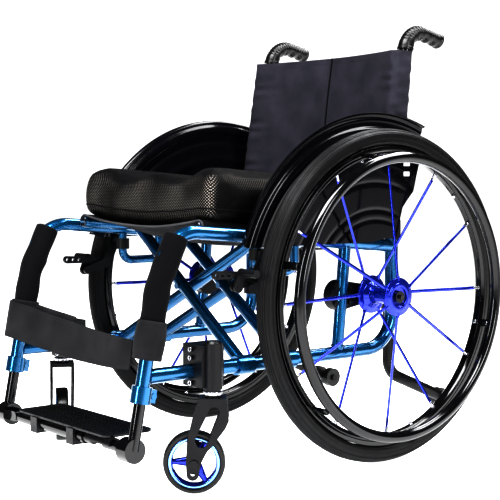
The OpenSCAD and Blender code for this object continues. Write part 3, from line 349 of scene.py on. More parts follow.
@dataclass(frozen=True)
class Finish:
    """A surface finish: painted metal, plastic or rubber with a fine grain.

    Attributes:
        name: Name of the material.
        slot: The record's material slot; not used.
        dark: Darker shade of the colour.
        light: Lighter shade of the colour.
        rough: Roughness where the surface is smooth, and where it is dull.
        metallic: Share of metal.
        coat: Weight of the clear coat.
        coat_rough: Roughness of the clear coat.
        grain: Grains in a metre.
        depth: Height of the grain in millimetres.
        shine: Strength of the mirror reflection.
        clouds: Clouds of colour in a metre.
        wear: Dull patches in a metre.
    """

    name: str
    slot: str
    dark: Colour
    light: Colour
    rough: Pair
    metallic: float = 0.0
    coat: float = 0.0
    coat_rough: float = 0.06
    grain: float = 900.0
    depth: float = 0.02
    shine: float = 0.5
    clouds: float = 14.0
    wear: float = 60.0

    def material(self) -> bpy.types.Material:
        """The material, made at its first use.

        Returns:
            The material.
        """
        found = bpy.data.materials.get(self.name)
        if found:
            return found
        kit = NodeKit(self.name)
        self.paint(kit)
        return kit.material

    def paint(self, kit: NodeKit) -> None:
        """Builds the nodes of this finish.

        Args:
            kit: The material's nodes.
        """
        kit.set(
            Base_Color=kit.mix(kit.noise(self.clouds), self.dark, self.light),
            Roughness=kit.spread(kit.noise(self.wear), 0.3, 0.7, *self.rough),
            Metallic=self.metallic,
            Coat_Weight=self.coat,
            Coat_Roughness=self.coat_rough,
            Specular_IOR_Level=self.shine,
        )
        kit.bump(kit.noise(self.grain), self.depth)

    def dress(self, piece: Piece) -> None:
        """Puts the material on a piece.

        Args:
            piece: A new piece or a node's object.
        """
        piece.data.materials.clear()
        piece.data.materials.append(self.material())


@dataclass(frozen=True)
class Lacquer(Finish):
    """Metallic lacquer with fine flakes under a clear coat.

    Attributes:
        flakes: Flakes in a metre.
        flake_share: Share of the flakes in the shade.
    """

    coat_rough: float = 0.04
    clouds: float = 9.0
    flakes: float = 2600.0
    flake_share: float = 0.35

    def paint(self, kit: NodeKit) -> None:
        """Builds flakes, soft clouds and a clear coat.

        Args:
            kit: The material's nodes.
        """
        flake = kit.spread(kit.noise(self.flakes, 1.0), 0.35, 0.65)
        shade = kit.weigh(flake, kit.noise(self.clouds), self.flake_share)
        kit.set(
            Base_Color=kit.mix(shade, self.dark, self.light),
            Roughness=kit.spread(flake, 0.0, 1.0, *self.rough),
            Metallic=self.metallic,
            Coat_Weight=self.coat,
            Coat_Roughness=self.coat_rough,
            Specular_IOR_Level=self.shine,
        )
        kit.bump(kit.noise(self.grain), self.depth)


@dataclass(frozen=True)
class Weave(Finish):
    """Woven cloth whose threads follow two axes of the frame.

    Attributes:
        axes: The two thread directions.
        thread: Pitch of the threads in millimetres.
        thread_share: Share of the threads in the shade.
        fuzz: Height of the grain beside that of the threads.
        sheen: Weight of the soft edge light.
        sheen_rough: Roughness of that light.
    """

    shine: float = 0.1
    clouds: float = 22.0
    axes: Axes = Axes.ACROSS_UP
    thread: float = 2.2
    thread_share: float = 0.35
    fuzz: float = 0.8
    sheen: float = 0.04
    sheen_rough: float = 0.45

    def paint(self, kit: NodeKit) -> None:
        """Builds crossing threads, faded clouds and sheen.

        Args:
            kit: The material's nodes.
        """
        parts = kit.split(kit.coords)
        first, second = (kit.waves(parts[name], self.thread) for name in self.axes.value)
        threads = kit.spread(kit.math("MULTIPLY", first, second), -1.0, 1.0)
        clouds = kit.spread(kit.noise(self.clouds, 4.0), 0.3, 0.7)
        shade = kit.weigh(threads, clouds, self.thread_share)
        kit.set(
            Base_Color=kit.mix(shade, self.dark, self.light),
            Roughness=kit.spread(clouds, 0.0, 1.0, *self.rough),
            Sheen_Weight=self.sheen,
            Sheen_Roughness=self.sheen_rough,
            Specular_IOR_Level=self.shine,
        )
        height = kit.math("ADD", threads, kit.math("MULTIPLY", kit.noise(self.grain), self.fuzz))
        kit.bump(height, self.depth)


@dataclass(frozen=True)
class AirMesh(Finish):
    """Open spacer mesh: dark strands over pale foam that shows as dots, least on top, with a painted
    highlight at the corners where more foam is painted.

    Attributes:
        foam: Colour of the foam behind the holes.
        pitch: Pitch of the holes in millimetres.
        corner: Share of the foam painted at a corner, a painted highlight of light through the mesh there.
        patches: Least and largest share that shows elsewhere.
        top_hidden: Share of that which is hidden on top.
        side_hidden: Share of that which is hidden on the left and right.
        strand: Changes of the strands' shade in a metre.
        sheen: Weight and roughness of the soft edge light.
    """

    shine: float = 0.06
    clouds: float = 9.0
    foam: Colour = (0.60, 0.56, 0.50)
    pitch: float = 5.2
    corner: float = 0.6
    patches: Pair = (0.04, 0.34)
    top_hidden: float = 0.96
    side_hidden: float = 0.88
    strand: float = 30.0
    sheen: Pair = (0.02, 0.5)

    def paint(self, kit: NodeKit) -> None:
        """Builds a diamond lattice on the sides and the top.

        Args:
            kit: The material's nodes.
        """
        place = kit.split(kit.coords)
        facing = kit.split(kit.add("ShaderNodeNewGeometry").outputs["Normal"])
        size = {name: kit.math("ABSOLUTE", part) for name, part in facing.items()}
        sideways = kit.math("GREATER_THAN", size["X"], size["Y"])
        top = kit.spread(size["Z"], 0.55, 0.8)
        along = kit.choose(sideways, place["X"], place["Y"])
        rise = kit.choose(kit.math("GREATER_THAN", top, 0.5), place["Z"], place["Y"])
        knit = kit.math("MULTIPLY", kit.waves(along, self.pitch), kit.waves(rise, self.pitch))
        lattice = kit.spread(knit, 0.15, 0.6)
        # Painted highlight: more foam colour where the surface faces halfway between front and side, at the
        # rounded corners, standing in for light through the open mesh; the foam behind the holes elsewhere is
        # real.
        corner = kit.spread(kit.math("MULTIPLY", size["X"], size["Y"]), 0.02, 0.45, 0.0, self.corner)
        patches = kit.spread(kit.noise(self.clouds, 2.0), 0.40, 0.62, *self.patches)
        shown = kit.hide(kit.math("MAXIMUM", corner, patches), top, self.top_hidden)
        shown = kit.hide(shown, kit.spread(size["X"], 0.8, 0.97), self.side_hidden)
        strands = kit.mix(kit.noise(self.strand), self.dark, self.light)
        kit.set(
            Base_Color=kit.mix(kit.math("MULTIPLY", lattice, shown), strands, self.foam),
            Roughness=kit.spread(lattice, 0.0, 1.0, *self.rough),
            Sheen_Weight=self.sheen[0],
            Sheen_Roughness=self.sheen[1],
            Specular_IOR_Level=self.shine,
        )
        kit.bump(kit.math("SUBTRACT", 1.0, lattice), self.depth)


FRAME_BLUE = Lacquer("frame_blue_lacquer", "frame_blue", (0.002, 0.062, 0.17), (0.014, 0.20, 0.40),
                     (0.18, 0.28), metallic=0.8, coat=1.0)
ROYAL_BLUE = Lacquer("royal_blue_anodised", "royal_blue", (0.004, 0.012, 0.24), (0.02, 0.05, 0.62),
                     (0.14, 0.24), metallic=0.75, coat=0.8)
GLOSS_BLACK = Finish("gloss_black_enamel", "gloss_black", (0.002, 0.002, 0.003), (0.005, 0.005, 0.006),
                     (0.08, 0.16), coat=0.5, shine=0.4)
SATIN_BLACK = Finish("satin_black_coating", "satin_black", (0.005, 0.005, 0.006), (0.013, 0.013, 0.015),
                     (0.28, 0.42), grain=1500.0, depth=0.05, shine=0.35)
GUARD_BLACK = Finish("guard_gloss_plastic", "guard_plastic", (0.002, 0.002, 0.004), (0.005, 0.005, 0.008),
                     (0.14, 0.24), coat=0.35, shine=0.3)
PLATE_BLACK = Finish("ridged_plate_plastic", "plate_plastic", (0.006, 0.006, 0.007), (0.014, 0.014, 0.016),
                     (0.24, 0.46), grain=1300.0, depth=0.08)
TYRE_GREY = Finish("tyre_rubber", "tyre", (0.004, 0.004, 0.005), (0.012, 0.012, 0.013), (0.36, 0.52),
                   grain=1100.0, depth=0.08, shine=0.3)
GRIP_BLACK = Finish("grip_rubber", "rubber", (0.004, 0.004, 0.005), (0.010, 0.010, 0.011), (0.22, 0.38),
                    grain=1400.0, depth=0.05)
STEEL = Finish("satin_steel", "steel", (0.42, 0.42, 0.45), (0.62, 0.62, 0.66), (0.16, 0.30), metallic=1.0)
POLISHED = Finish("polished_alloy", "royal_blue", (0.16, 0.34, 0.72), (0.36, 0.58, 0.92), (0.10, 0.18),
                  metallic=1.0)
BUTTON = Finish("button_plastic", "button_black", (0.006, 0.006, 0.007), (0.016, 0.016, 0.018), (0.14, 0.24),
                coat=0.6)
PAD_CLOTH = Weave("leg_pad_neoprene", "pad_cloth", (0.004, 0.004, 0.005), (0.010, 0.010, 0.012),
                  (0.62, 0.85), grain=1200.0, depth=0.22, thread=1.9)
SLING_CLOTH = Weave("seat_sling_nylon", "sling_cloth", (0.004, 0.004, 0.005), (0.010, 0.010, 0.012),
                    (0.55, 0.75), depth=0.15, axes=Axes.ACROSS_ALONG, thread=2.0)
BACK_CLOTH = Weave("back_oxford_nylon", "back_cloth", (0.024, 0.024, 0.032), (0.050, 0.048, 0.063),
                   (0.50, 0.70), depth=0.16)
STRAP_CLOTH = Weave("calf_strap_webbing", "strap_cloth", (0.013, 0.013, 0.015), (0.036, 0.036, 0.040),
                    (0.60, 0.82), depth=0.24, thread=2.6, sheen=0.06)
STRAP_EDGE = Weave("pale_edge_binding", "sling_cloth", (0.05, 0.05, 0.055), (0.10, 0.10, 0.105), (0.5, 0.7),
                   depth=0.1, thread=1.6)
PIPING = Weave("dark_piping", "back_cloth", (0.003, 0.003, 0.004), (0.009, 0.009, 0.010), (0.5, 0.7),
               depth=0.12, axes=Axes.ALONG_UP, thread=1.6)
THREAD = Weave("grey_thread", "strap_cloth", (0.03, 0.03, 0.034), (0.08, 0.08, 0.085), (0.5, 0.7),
               depth=0.05, thread=0.8)
CUSHION_MESH = AirMesh("cushion_air_mesh", "cushion_mesh", (0.002, 0.002, 0.003), (0.006, 0.006, 0.007),
                       (0.55, 0.80), depth=0.5)


def turn_x(point: Sequence[float], degrees: float) -> Vector:
    """A point turned about the X axis."""
    return Matrix.Rotation(math.radians(degrees), 3, "X") @ Vector(point)


def spaced(low: float, high: float, count: int) -> list[float]:
    """Even steps from one value to another, with both ends."""
    return [low + (high - low) * k / count for k in range(count + 1)]


def ring_angles(count: int) -> list[float]:
    """Even angles round a full turn, in radians."""
    return [2 * math.pi * k / count for k in range(count)]


def part_of(value: float) -> float:
    """A value kept between 0 and 1."""
    return min(1.0, max(0.0, value))


def hump(value: float, middle: float, width: float, power: int = 2) -> float:
    """A smooth hump of height 1; a higher power gives it a flatter top."""
    return math.exp(-((value - middle) / width) ** power)


def oval(a: float, wide: float, deep: float) -> float:
    """Radius of a flat oval at an angle, from half its width and half its depth."""
    return 1 / math.hypot(math.cos(a) / wide, math.sin(a) / deep)


def end_rounding(s: float, length: float, radius: float = 4.0) -> float:
    """Depth that a sleeve's rounded ends lie under its full radius.

    Args:
        s: Distance along the sleeve.
        length: Length of the sleeve.
        radius: Radius of the rounding.

    Returns:
        The depth, 0 away from the ends.
    """
    ends = min(s, length - s)
    if ends >= radius:
        return 0.0
    return radius - math.sqrt(max(0.0, radius ** 2 - (radius - ends) ** 2))


def path_length(path: Sequence[Vector]) -> float:
    """Length of a path."""
    return sum((b - a).length for a, b in zip(path, path[1:]))


def fillet(points: Sequence[Vector], radius: float, steps: int = 10) -> list[Vector]:
    """Rounds the inner corners of a path with arcs.

    Args:
        points: Corners of the path.
        radius: Radius of every arc.
        steps: Steps in an arc.

    Returns:
        Points along the rounded path.
    """
    path = [points[0].copy()]
    for before, corner, after in zip(points, points[1:], points[2:]):
        u = (corner - before).normalized()
        w = (after - corner).normalized()
        bend = u.angle(w)
        inward = (w - u * u.dot(w)).normalized()
        start = corner - u * radius * math.tan(bend / 2)
        for a in spaced(0, bend, steps):
            path.append(start + u * radius * math.sin(a) + inward * radius * (1 - math.cos(a)))
    path.append(points[-1].copy())
    return path


def resample(path: Sequence[Vector], step: float) -> list[Vector]:
    """Points at an even pitch along a path.

    Args:
        path: Points of the path.
        step: Largest pitch.

    Returns:
        The new points, with both ends kept.
    """
    lengths = [0.0]
    for a, b in zip(path, path[1:]):
        lengths.append(lengths[-1] + (b - a).length)
    wanted = spaced(0, lengths[-1], max(1, math.ceil(lengths[-1] / step)))
    table = np.array([tuple(p) for p in path])
    return [Vector([float(np.interp(s, lengths, table[:, i])) for i in range(3)]) for s in wanted]


def circle_profile(r: float, h: float, radius: float, count: int = 32) -> list[Pair]:
    """A round section for a lathe, centred at radius r and height h."""
    return [(r + radius * math.cos(a), h + radius * math.sin(a)) for a in ring_angles(count)]


def both_faces(face: Profile) -> list[Pair]:
    """A closed section from the corners of its outer face and their mirror images."""
    return [(r, -h) for r, h in face] + [(r, h) for r, h in reversed(face)]


def softened(profile: Profile, radius: float, steps: int = 3) -> list[Pair]:
    """Rounds every corner of a closed profile.

    Args:
        profile: Corners of the section.
        radius: Radius of the rounding, less where an edge is short.
        steps: Steps in each corner.

    Returns:
        Points of the rounded section.
    """
    corners = [Vector(p) for p in profile]
    result: list[Pair] = []
    for i, corner in enumerate(corners):
        before = corners[i - 1] - corner
        after = corners[(i + 1) % len(corners)] - corner
        room = min(radius, before.length * 0.45, after.length * 0.45)
        start = corner + before.normalized() * room
        stop = corner + after.normalized() * room
        for t in spaced(0, 1, steps):
            p = start * (1 - t) ** 2 + corner * 2 * t * (1 - t) + stop * t ** 2
            result.append((p.x, p.y))
    return result


@dataclass(frozen=True)
class Spindle:
    """A line that round pieces are turned about.

    Attributes:
        centre: Point on the line at height 0.
        axis: Direction of the line.
        start: Direction of angle 0, square to the line.
    """

    centre: Vector
    axis: Vector
    start: Vector

    def out(self, a: float) -> Vector:
        """Direction away from the line at an angle in radians."""
        return self.start * math.cos(a) + self.axis.cross(self.start) * math.sin(a)

    def at(self, degrees: float, r: float, h: float) -> Vector:
        """A point at an angle, a radius and a height along the line."""
        return self.centre + self.out(math.radians(degrees)) * r + self.axis * h

    def turn(self, degrees: float) -> Matrix:
        """Rotation whose X points out at an angle and whose Z follows the line."""
        out = self.out(math.radians(degrees))
        return Matrix((out, self.axis.cross(out), self.axis)).transposed()


class Shape:
    """Points and faces of one piece, gathered from simple forms in millimetres."""

    def __init__(self) -> None:
        """Starts with nothing."""
        self.points: list[Vector] = []
        self.faces: list[tuple[int, ...]] = []

    def grid(self, rows: Rows, wrap_rows: bool = False, wrap_cols: bool = False) -> None:
        """Adds a skin over rows of points.

        Args:
            rows: Rows of equal length.
            wrap_rows: Joins the last row to the first.
            wrap_cols: Joins the last column to the first.
        """
        base, n = len(self.points), len(rows[0])
        for row in rows:
            self.points.extend(Vector(p) for p in row)
        for j in range(len(rows) if wrap_rows else len(rows) - 1):
            for i in range(n if wrap_cols else n - 1):
                a, b = base + j * n, base + (j + 1) % len(rows) * n
                k = (i + 1) % n
                self.faces.append((a + i, a + k, b + k, b + i))

    def cap(self, ring: Sequence[Vector]) -> None:
        """Closes a ring with a fan of triangles.

        Args:
            ring: Points of the ring.
        """
        base = len(self.points)
        self.points.extend(Vector(p) for p in ring)
        self.points.append(sum((Vector(p) for p in ring), Vector()) / len(ring))
        for i in range(len(ring)):
            self.faces.append((base + i, base + (i + 1) % len(ring), base + len(ring)))

    def lid(self, ring: Sequence[Vector]) -> None:
        """Closes a ring of any outline with one face.

        Args:
            ring: Points of the ring.
        """
        base = len(self.points)
        self.points.extend(Vector(p) for p in ring)
        self.faces.append(tuple(range(base, base + len(ring))))

    def lathe(self, profile: Profile, spindle: Spindle, segments: int) -> None:
        """Turns a closed section about a line.

        Args:
            profile: Pairs of radius and height along the line.
            spindle: The line.
            segments: Segments in a turn.
        """
        rows = []
        for a in ring_angles(segments):
            out = spindle.out(a)
            rows.append([spindle.centre + out * r + spindle.axis * h for r, h in profile])
        self.grid(rows, wrap_rows=True, wrap_cols=True)

    def tube(self, path: Sequence[Vector], radius: Radius, up: Vector, sides: int,
             closed: bool = False) -> None:
        """Sweeps a section along a path.

        Args:
            path: Points of the path.
            radius: Radius at a distance along the path and an angle from up.
            up: Direction of angle 0 at the start.
            sides: Points in a section.
            closed: Joins the end of the path to its start.
        """
        count = len(path)
        normal, travelled, rows = up, 0.0, []
        for i, point in enumerate(path):
            ahead = path[(i + 1) % count] if closed or i < count - 1 else point
            behind = path[i - 1] if closed or i > 0 else point
            tangent = (ahead - behind).normalized()
            normal = (normal - tangent * normal.dot(tangent)).normalized()
            across = tangent.cross(normal)
            if i:
                travelled += (point - path[i - 1]).length
            rows.append([point + (normal * math.cos(a) + across * math.sin(a)) * radius(travelled, a)
                         for a in ring_angles(sides)])
        self.grid(rows, wrap_rows=closed, wrap_cols=True)
        if not closed:
            self.cap(rows[0])
            self.cap(rows[-1])

    def rod(self, start: Vector, stop: Vector, radius: float, soft: float, sides: int = 20) -> None:
        """Adds a straight round bar with softened ends.

        Args:
            start: Middle of the first end.
            stop: Middle of the second end.
            radius: Radius of the bar.
            soft: Rounding of the ends.
            sides: Points in a section.
        """
        along = (stop - start).normalized()
        length = (stop - start).length
        path = [start, start + along * soft, stop - along * soft, stop]
        self.tube(path, lambda s, a: radius - (soft if s < 1e-6 or s > length - 1e-6 else 0.0),
                  along.orthogonal().normalized(), sides)

    def block(self, centre: Vector, size: Sequence[float], turn: Matrix, soft: float) -> None:
        """Adds a block with rounded edges.

        Args:
            centre: Middle of the block.
            size: Length along each of its own axes.
            turn: Rotation of the block.
            soft: Rounding of the edges.
        """
        bm = bmesh.new()
        bmesh.ops.create_cube(bm, size=1.0)
        for vertex in bm.verts:
            vertex.co = Vector([c * s for c, s in zip(vertex.co, size)])
        bmesh.ops.bevel(bm, geom=list(bm.edges), offset=soft, segments=2, affect="EDGES", profile=0.5)
        bm.verts.index_update()
        base = len(self.points)
        self.points.extend(centre + turn @ vertex.co for vertex in bm.verts)
        self.faces.extend(tuple(base + vertex.index for vertex in face.verts) for face in bm.faces)
        bm.free()

    def sheet(self, front: Rows, back: Rows) -> None:
        """Adds a closed sheet between a front and a back skin.

        Args:
            front: Rows of the front skin.
            back: Rows of the back skin, as many and as long.
        """
        self.grid(front)
        self.grid(back)
        for end in (0, -1):
            self.grid([front[end], back[end]])
            self.grid([[row[end] for row in front], [row[end] for row in back]])

    def stitches(self, path: Sequence[Vector], out: Vector, pitch: float = 5.0, length: float = 3.2,
                 width: float = 0.9) -> None:
        """Adds a row of stitches along a path.

        Args:
            path: Points of the row.
            out: Direction that the stitches stand out to.
            pitch: Distance between stitches.
            length: Length of a stitch.
            width: Width of a stitch.
        """
        points = resample(path, pitch)
        for a, b in zip(points, points[1:]):
            middle, along = (a + b) / 2, (b - a).normalized()
            across = along.cross(out).normalized() * width / 2
            half = along * length / 2
            lift = out.normalized() * width / 2
            base = len(self.points)
            self.points.extend(middle + d for d in (-half, across, half, -across, lift, -lift))
            for i in range(4):
                self.faces.append((base + i, base + (i + 1) % 4, base + 4))
                self.faces.append((base + (i + 1) % 4, base + i, base + 5))

    def mirrored(self, side: Side) -> "Shape":
        """The same shape on the given side of the chair.

        Args:
            side: Side of the chair.

        Returns:
            A new shape.
        """
        copy = Shape()
        copy.points = [Vector((side.value * p.x, p.y, p.z)) for p in self.points]
        copy.faces = list(self.faces)
        return copy

    def piece(self, name: str, finish: Finish, body: str | None = None, replaces: Iterable[str] = (),
              sharp: float = 40.0) -> Piece:
        """Makes the piece in the frame's axes.

        Args:
            name: Name of the piece.
            finish: Its finish.
            body: Body that it rides on, if any.
            replaces: Nodes that it stands for.
            sharp: Angle in degrees above which an edge stays sharp.

        Returns:
            The new object.
        """
        mesh = self.mesh(name)
        mesh.shade_smooth()
        mesh.set_sharp_from_angle(angle=math.radians(sharp))
        piece = bpy.data.objects.new(name, mesh)
        bpy.context.scene.collection.objects.link(piece)
        finish.dress(piece)
        if body:
            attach(piece, body)
        nodes = list(replaces)
        if nodes:
            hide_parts(*nodes)
        return piece

    def mesh(self, name: str) -> bpy.types.Mesh:
        """Makes a clean mesh in metres, in the frame's axes.

        Args:
            name: Name of the mesh.

        Returns:
            The mesh.
        """
        mesh = bpy.data.meshes.new(name)
        points = [(p.x * MM, p.y * MM + AXLE_Y, p.z * MM) for p in self.points]
        mesh.from_pydata(points, [], self.faces)
        bm = bmesh.new()
        bm.from_mesh(mesh)
        bmesh.ops.remove_doubles(bm, verts=list(bm.verts), dist=0.00002)
        bmesh.ops.dissolve_degenerate(bm, edges=list(bm.edges), dist=0.000001)
        bmesh.ops.recalc_face_normals(bm, faces=list(bm.faces))
        bm.to_mesh(mesh)
        bm.free()
        return mesh


@dataclass(frozen=True)
class SoftBox:
    """A soft lamp of the studio; its places and sizes are in metres.

    Attributes:
        name: Name of the lamp.
        place: Where it stands.
        aim: Point that it faces.
        size: Its width and height.
        share: Its power beside that of a strip light.
    """

    name: str
    place: Place
    aim: Place
    size: Pair
    share: float

    def build(self, power: float) -> None:
        """Hangs the lamp.

        Args:
            power: Power of a strip light in watts.
        """
        light = bpy.data.lights.new(self.name, "AREA")
        light.shape = "RECTANGLE"
        light.size, light.size_y = self.size
        light.energy = power * self.share
        lamp = bpy.data.objects.new(self.name, light)
        lamp.location = self.place
        lamp.rotation_euler = (Vector(self.aim) - Vector(self.place)).to_track_quat("-Z", "Y").to_euler()
        bpy.context.scene.collection.objects.link(lamp)


@dataclass
class Studio:
    """Camera, pale floor and soft light.

    Attributes:
        eye: Place of the camera.
        pan: Turn of the camera about the upright, degrees.
        dip: Angle that the camera looks down, degrees.
        sensor: Width of the camera's sensor.
        lens: Focal length.
        shift: Shift of the picture.
        sight: Farthest distance that is seen, in metres.
        floor: Half the side of the floor, in metres.
        floor_gap: Gap under the wheels, in metres.
        floor_glow: Strength of the floor's own light.
        power: Power of a strip light in watts.
        room: Strength of the white room's own light.
        gamma: Gamma of the print, under 1 for deep blacks.
        exposure: Exposure of the print in stops.
        boxes: The lamps: a wide box above, two tall strips and a wide box behind.
    """

    eye: Place = (1837.4, -1610.3, 529.0)
    pan: float = 50.80
    dip: float = 3.53
    sensor: float = 36.0
    lens: float = 88.55
    shift: Pair = (0.0048, -0.0026)
    sight: float = 200.0
    floor: float = 60.0
    floor_gap: float = 0.0005
    floor_glow: float = 0.80
    power: float = 42.0
    room: float = 0.10
    gamma: float = 0.60
    exposure: float = 0.35
    boxes: tuple[SoftBox, ...] = (
        SoftBox("top_box", (0.5, -0.9, 2.3), (0.0, 0.0, 0.4), (1.7, 1.0), 2.2),
        SoftBox("left_strip", (0.5, -2.9, 1.2), (0.0, 0.0, 0.5), (0.4, 1.7), 1.0),
        SoftBox("right_strip", (2.9, 0.1, 1.3), (0.0, 0.0, 0.5), (0.5, 1.9), 1.1),
        SoftBox("rear_box", (0.2, 1.4, 2.4), (0.1, -0.3, 0.4), (2.6, 1.1), 2.4),
    )

    def build(self) -> list[Piece]:
        """Sets the camera, the lights and the floor.

        Returns:
            Nothing that belongs to the chair.
        """
        self.camera()
        for box in self.boxes:
            box.build(self.power)
        self.surroundings()
        self.print_tone()
        self.ground()
        return []

    def camera(self) -> None:
        """Sets the camera where the photograph was taken."""
        lens = bpy.data.cameras.new("camera")
        lens.lens = self.lens
        lens.sensor_width = self.sensor
        lens.shift_x, lens.shift_y = self.shift
        lens.clip_end = self.sight
        camera = bpy.data.objects.new("camera", lens)
        x, y, z = self.eye
        camera.location = (x * MM, y * MM + AXLE_Y, z * MM)
        camera.rotation_euler = (math.radians(90 - self.dip), 0, math.radians(self.pan))
        bpy.context.scene.collection.objects.link(camera)
        bpy.context.scene.camera = camera

    def surroundings(self) -> None:
        """Sets a room that looks white and gives a weak light of its own."""
        world = bpy.data.worlds.new("white_room")
        world.use_nodes = True
        tree = world.node_tree
        seen, room = tree.nodes["Background"], tree.nodes.new("ShaderNodeBackground")
        for background, strength in ((seen, 1.0), (room, self.room)):
            background.inputs["Color"].default_value = (1.0, 1.0, 1.0, 1.0)
            background.inputs["Strength"].default_value = strength
        choice = tree.nodes.new("ShaderNodeMixShader")
        tree.links.new(tree.nodes.new("ShaderNodeLightPath").outputs["Is Camera Ray"], choice.inputs["Fac"])
        tree.links.new(room.outputs["Background"], choice.inputs[1])
        tree.links.new(seen.outputs["Background"], choice.inputs[2])
        tree.links.new(choice.outputs["Shader"], tree.nodes["World Output"].inputs["Surface"])
        bpy.context.scene.world = world

    def print_tone(self) -> None:
        """Sets the tone of the picture."""
        tone = bpy.context.scene.view_settings
        tone.view_transform = "Standard"
        tone.gamma = self.gamma
        tone.exposure = self.exposure

    def ground(self) -> None:
        """Lays the floor under the wheels."""
        mesh = bpy.data.meshes.new("floor")
        corners = [(x * self.floor, y * self.floor, 0.0) for x, y in ((-1, -1), (1, -1), (1, 1), (-1, 1))]
        mesh.from_pydata(corners, [], [(0, 1, 2, 3)])
        floor = bpy.data.objects.new("floor", mesh)
        floor.location.z = CAD_BOX[0][2] - self.floor_gap
        bpy.context.scene.collection.objects.link(floor)
        kit = NodeKit("pale_floor")
        shade = kit.mix(kit.noise(3.0), (0.88, 0.88, 0.88), (0.92, 0.92, 0.92))
        kit.set(Base_Color=shade, Roughness=0.9, Specular_IOR_Level=0.1, Emission_Color=(1.0, 1.0, 1.0),
                Emission_Strength=self.floor_glow)
        mesh.materials.append(kit.material)


@dataclass
class FrameTubes:
    """Nodes whose own shape shows: tubes, brackets, levers and plates. Here they get their finishes.

    Attributes:
        blue: Lacquered tubes of a side.
        gloss: Enamelled tubes of a side.
        satin: Coated brackets and levers of a side.
        rubber: Rubber parts of a side.
        plastic: Plastic parts of a side.
        single: Finishes of the nodes that the chair has once.
    """

    blue: tuple[str, ...] = ("seat_rail", "lower_rail", "axle_upright", "leg_clamp")
    gloss: tuple[str, ...] = ("foot_tube", "back_post", "quick_axle")
    satin: tuple[str, ...] = ("axle_block", "caster_bracket", "caster_fork", "brake_body", "brake_lever",
                              "brake_shoe", "antitip_tube")
    rubber: tuple[str, ...] = ("antitip_rollers",)
    plastic: tuple[str, ...] = ("axle_button",)
    single: tuple[tuple[Finish, str], ...] = (
        (FRAME_BLUE, "brace_a"), (FRAME_BLUE, "brace_b"), (GLOSS_BLACK, "foot_bar"),
        (PLATE_BLACK, "footplate"))

    def build(self) -> list[Piece]:
        """Dresses the nodes.

        Returns:
            The nodes' objects.
        """
        groups = ((FRAME_BLUE, self.blue), (GLOSS_BLACK, self.gloss), (SATIN_BLACK, self.satin),
                  (GRIP_BLACK, self.rubber), (BUTTON, self.plastic))
        named = [(finish, side.node(name)) for finish, names in groups for name in names for side in Side]
        dressed = []
        for finish, name in (*named, *self.single):
            piece = frame["nodes"][name]
            finish.dress(piece)
            dressed.append(piece)
        return dressed


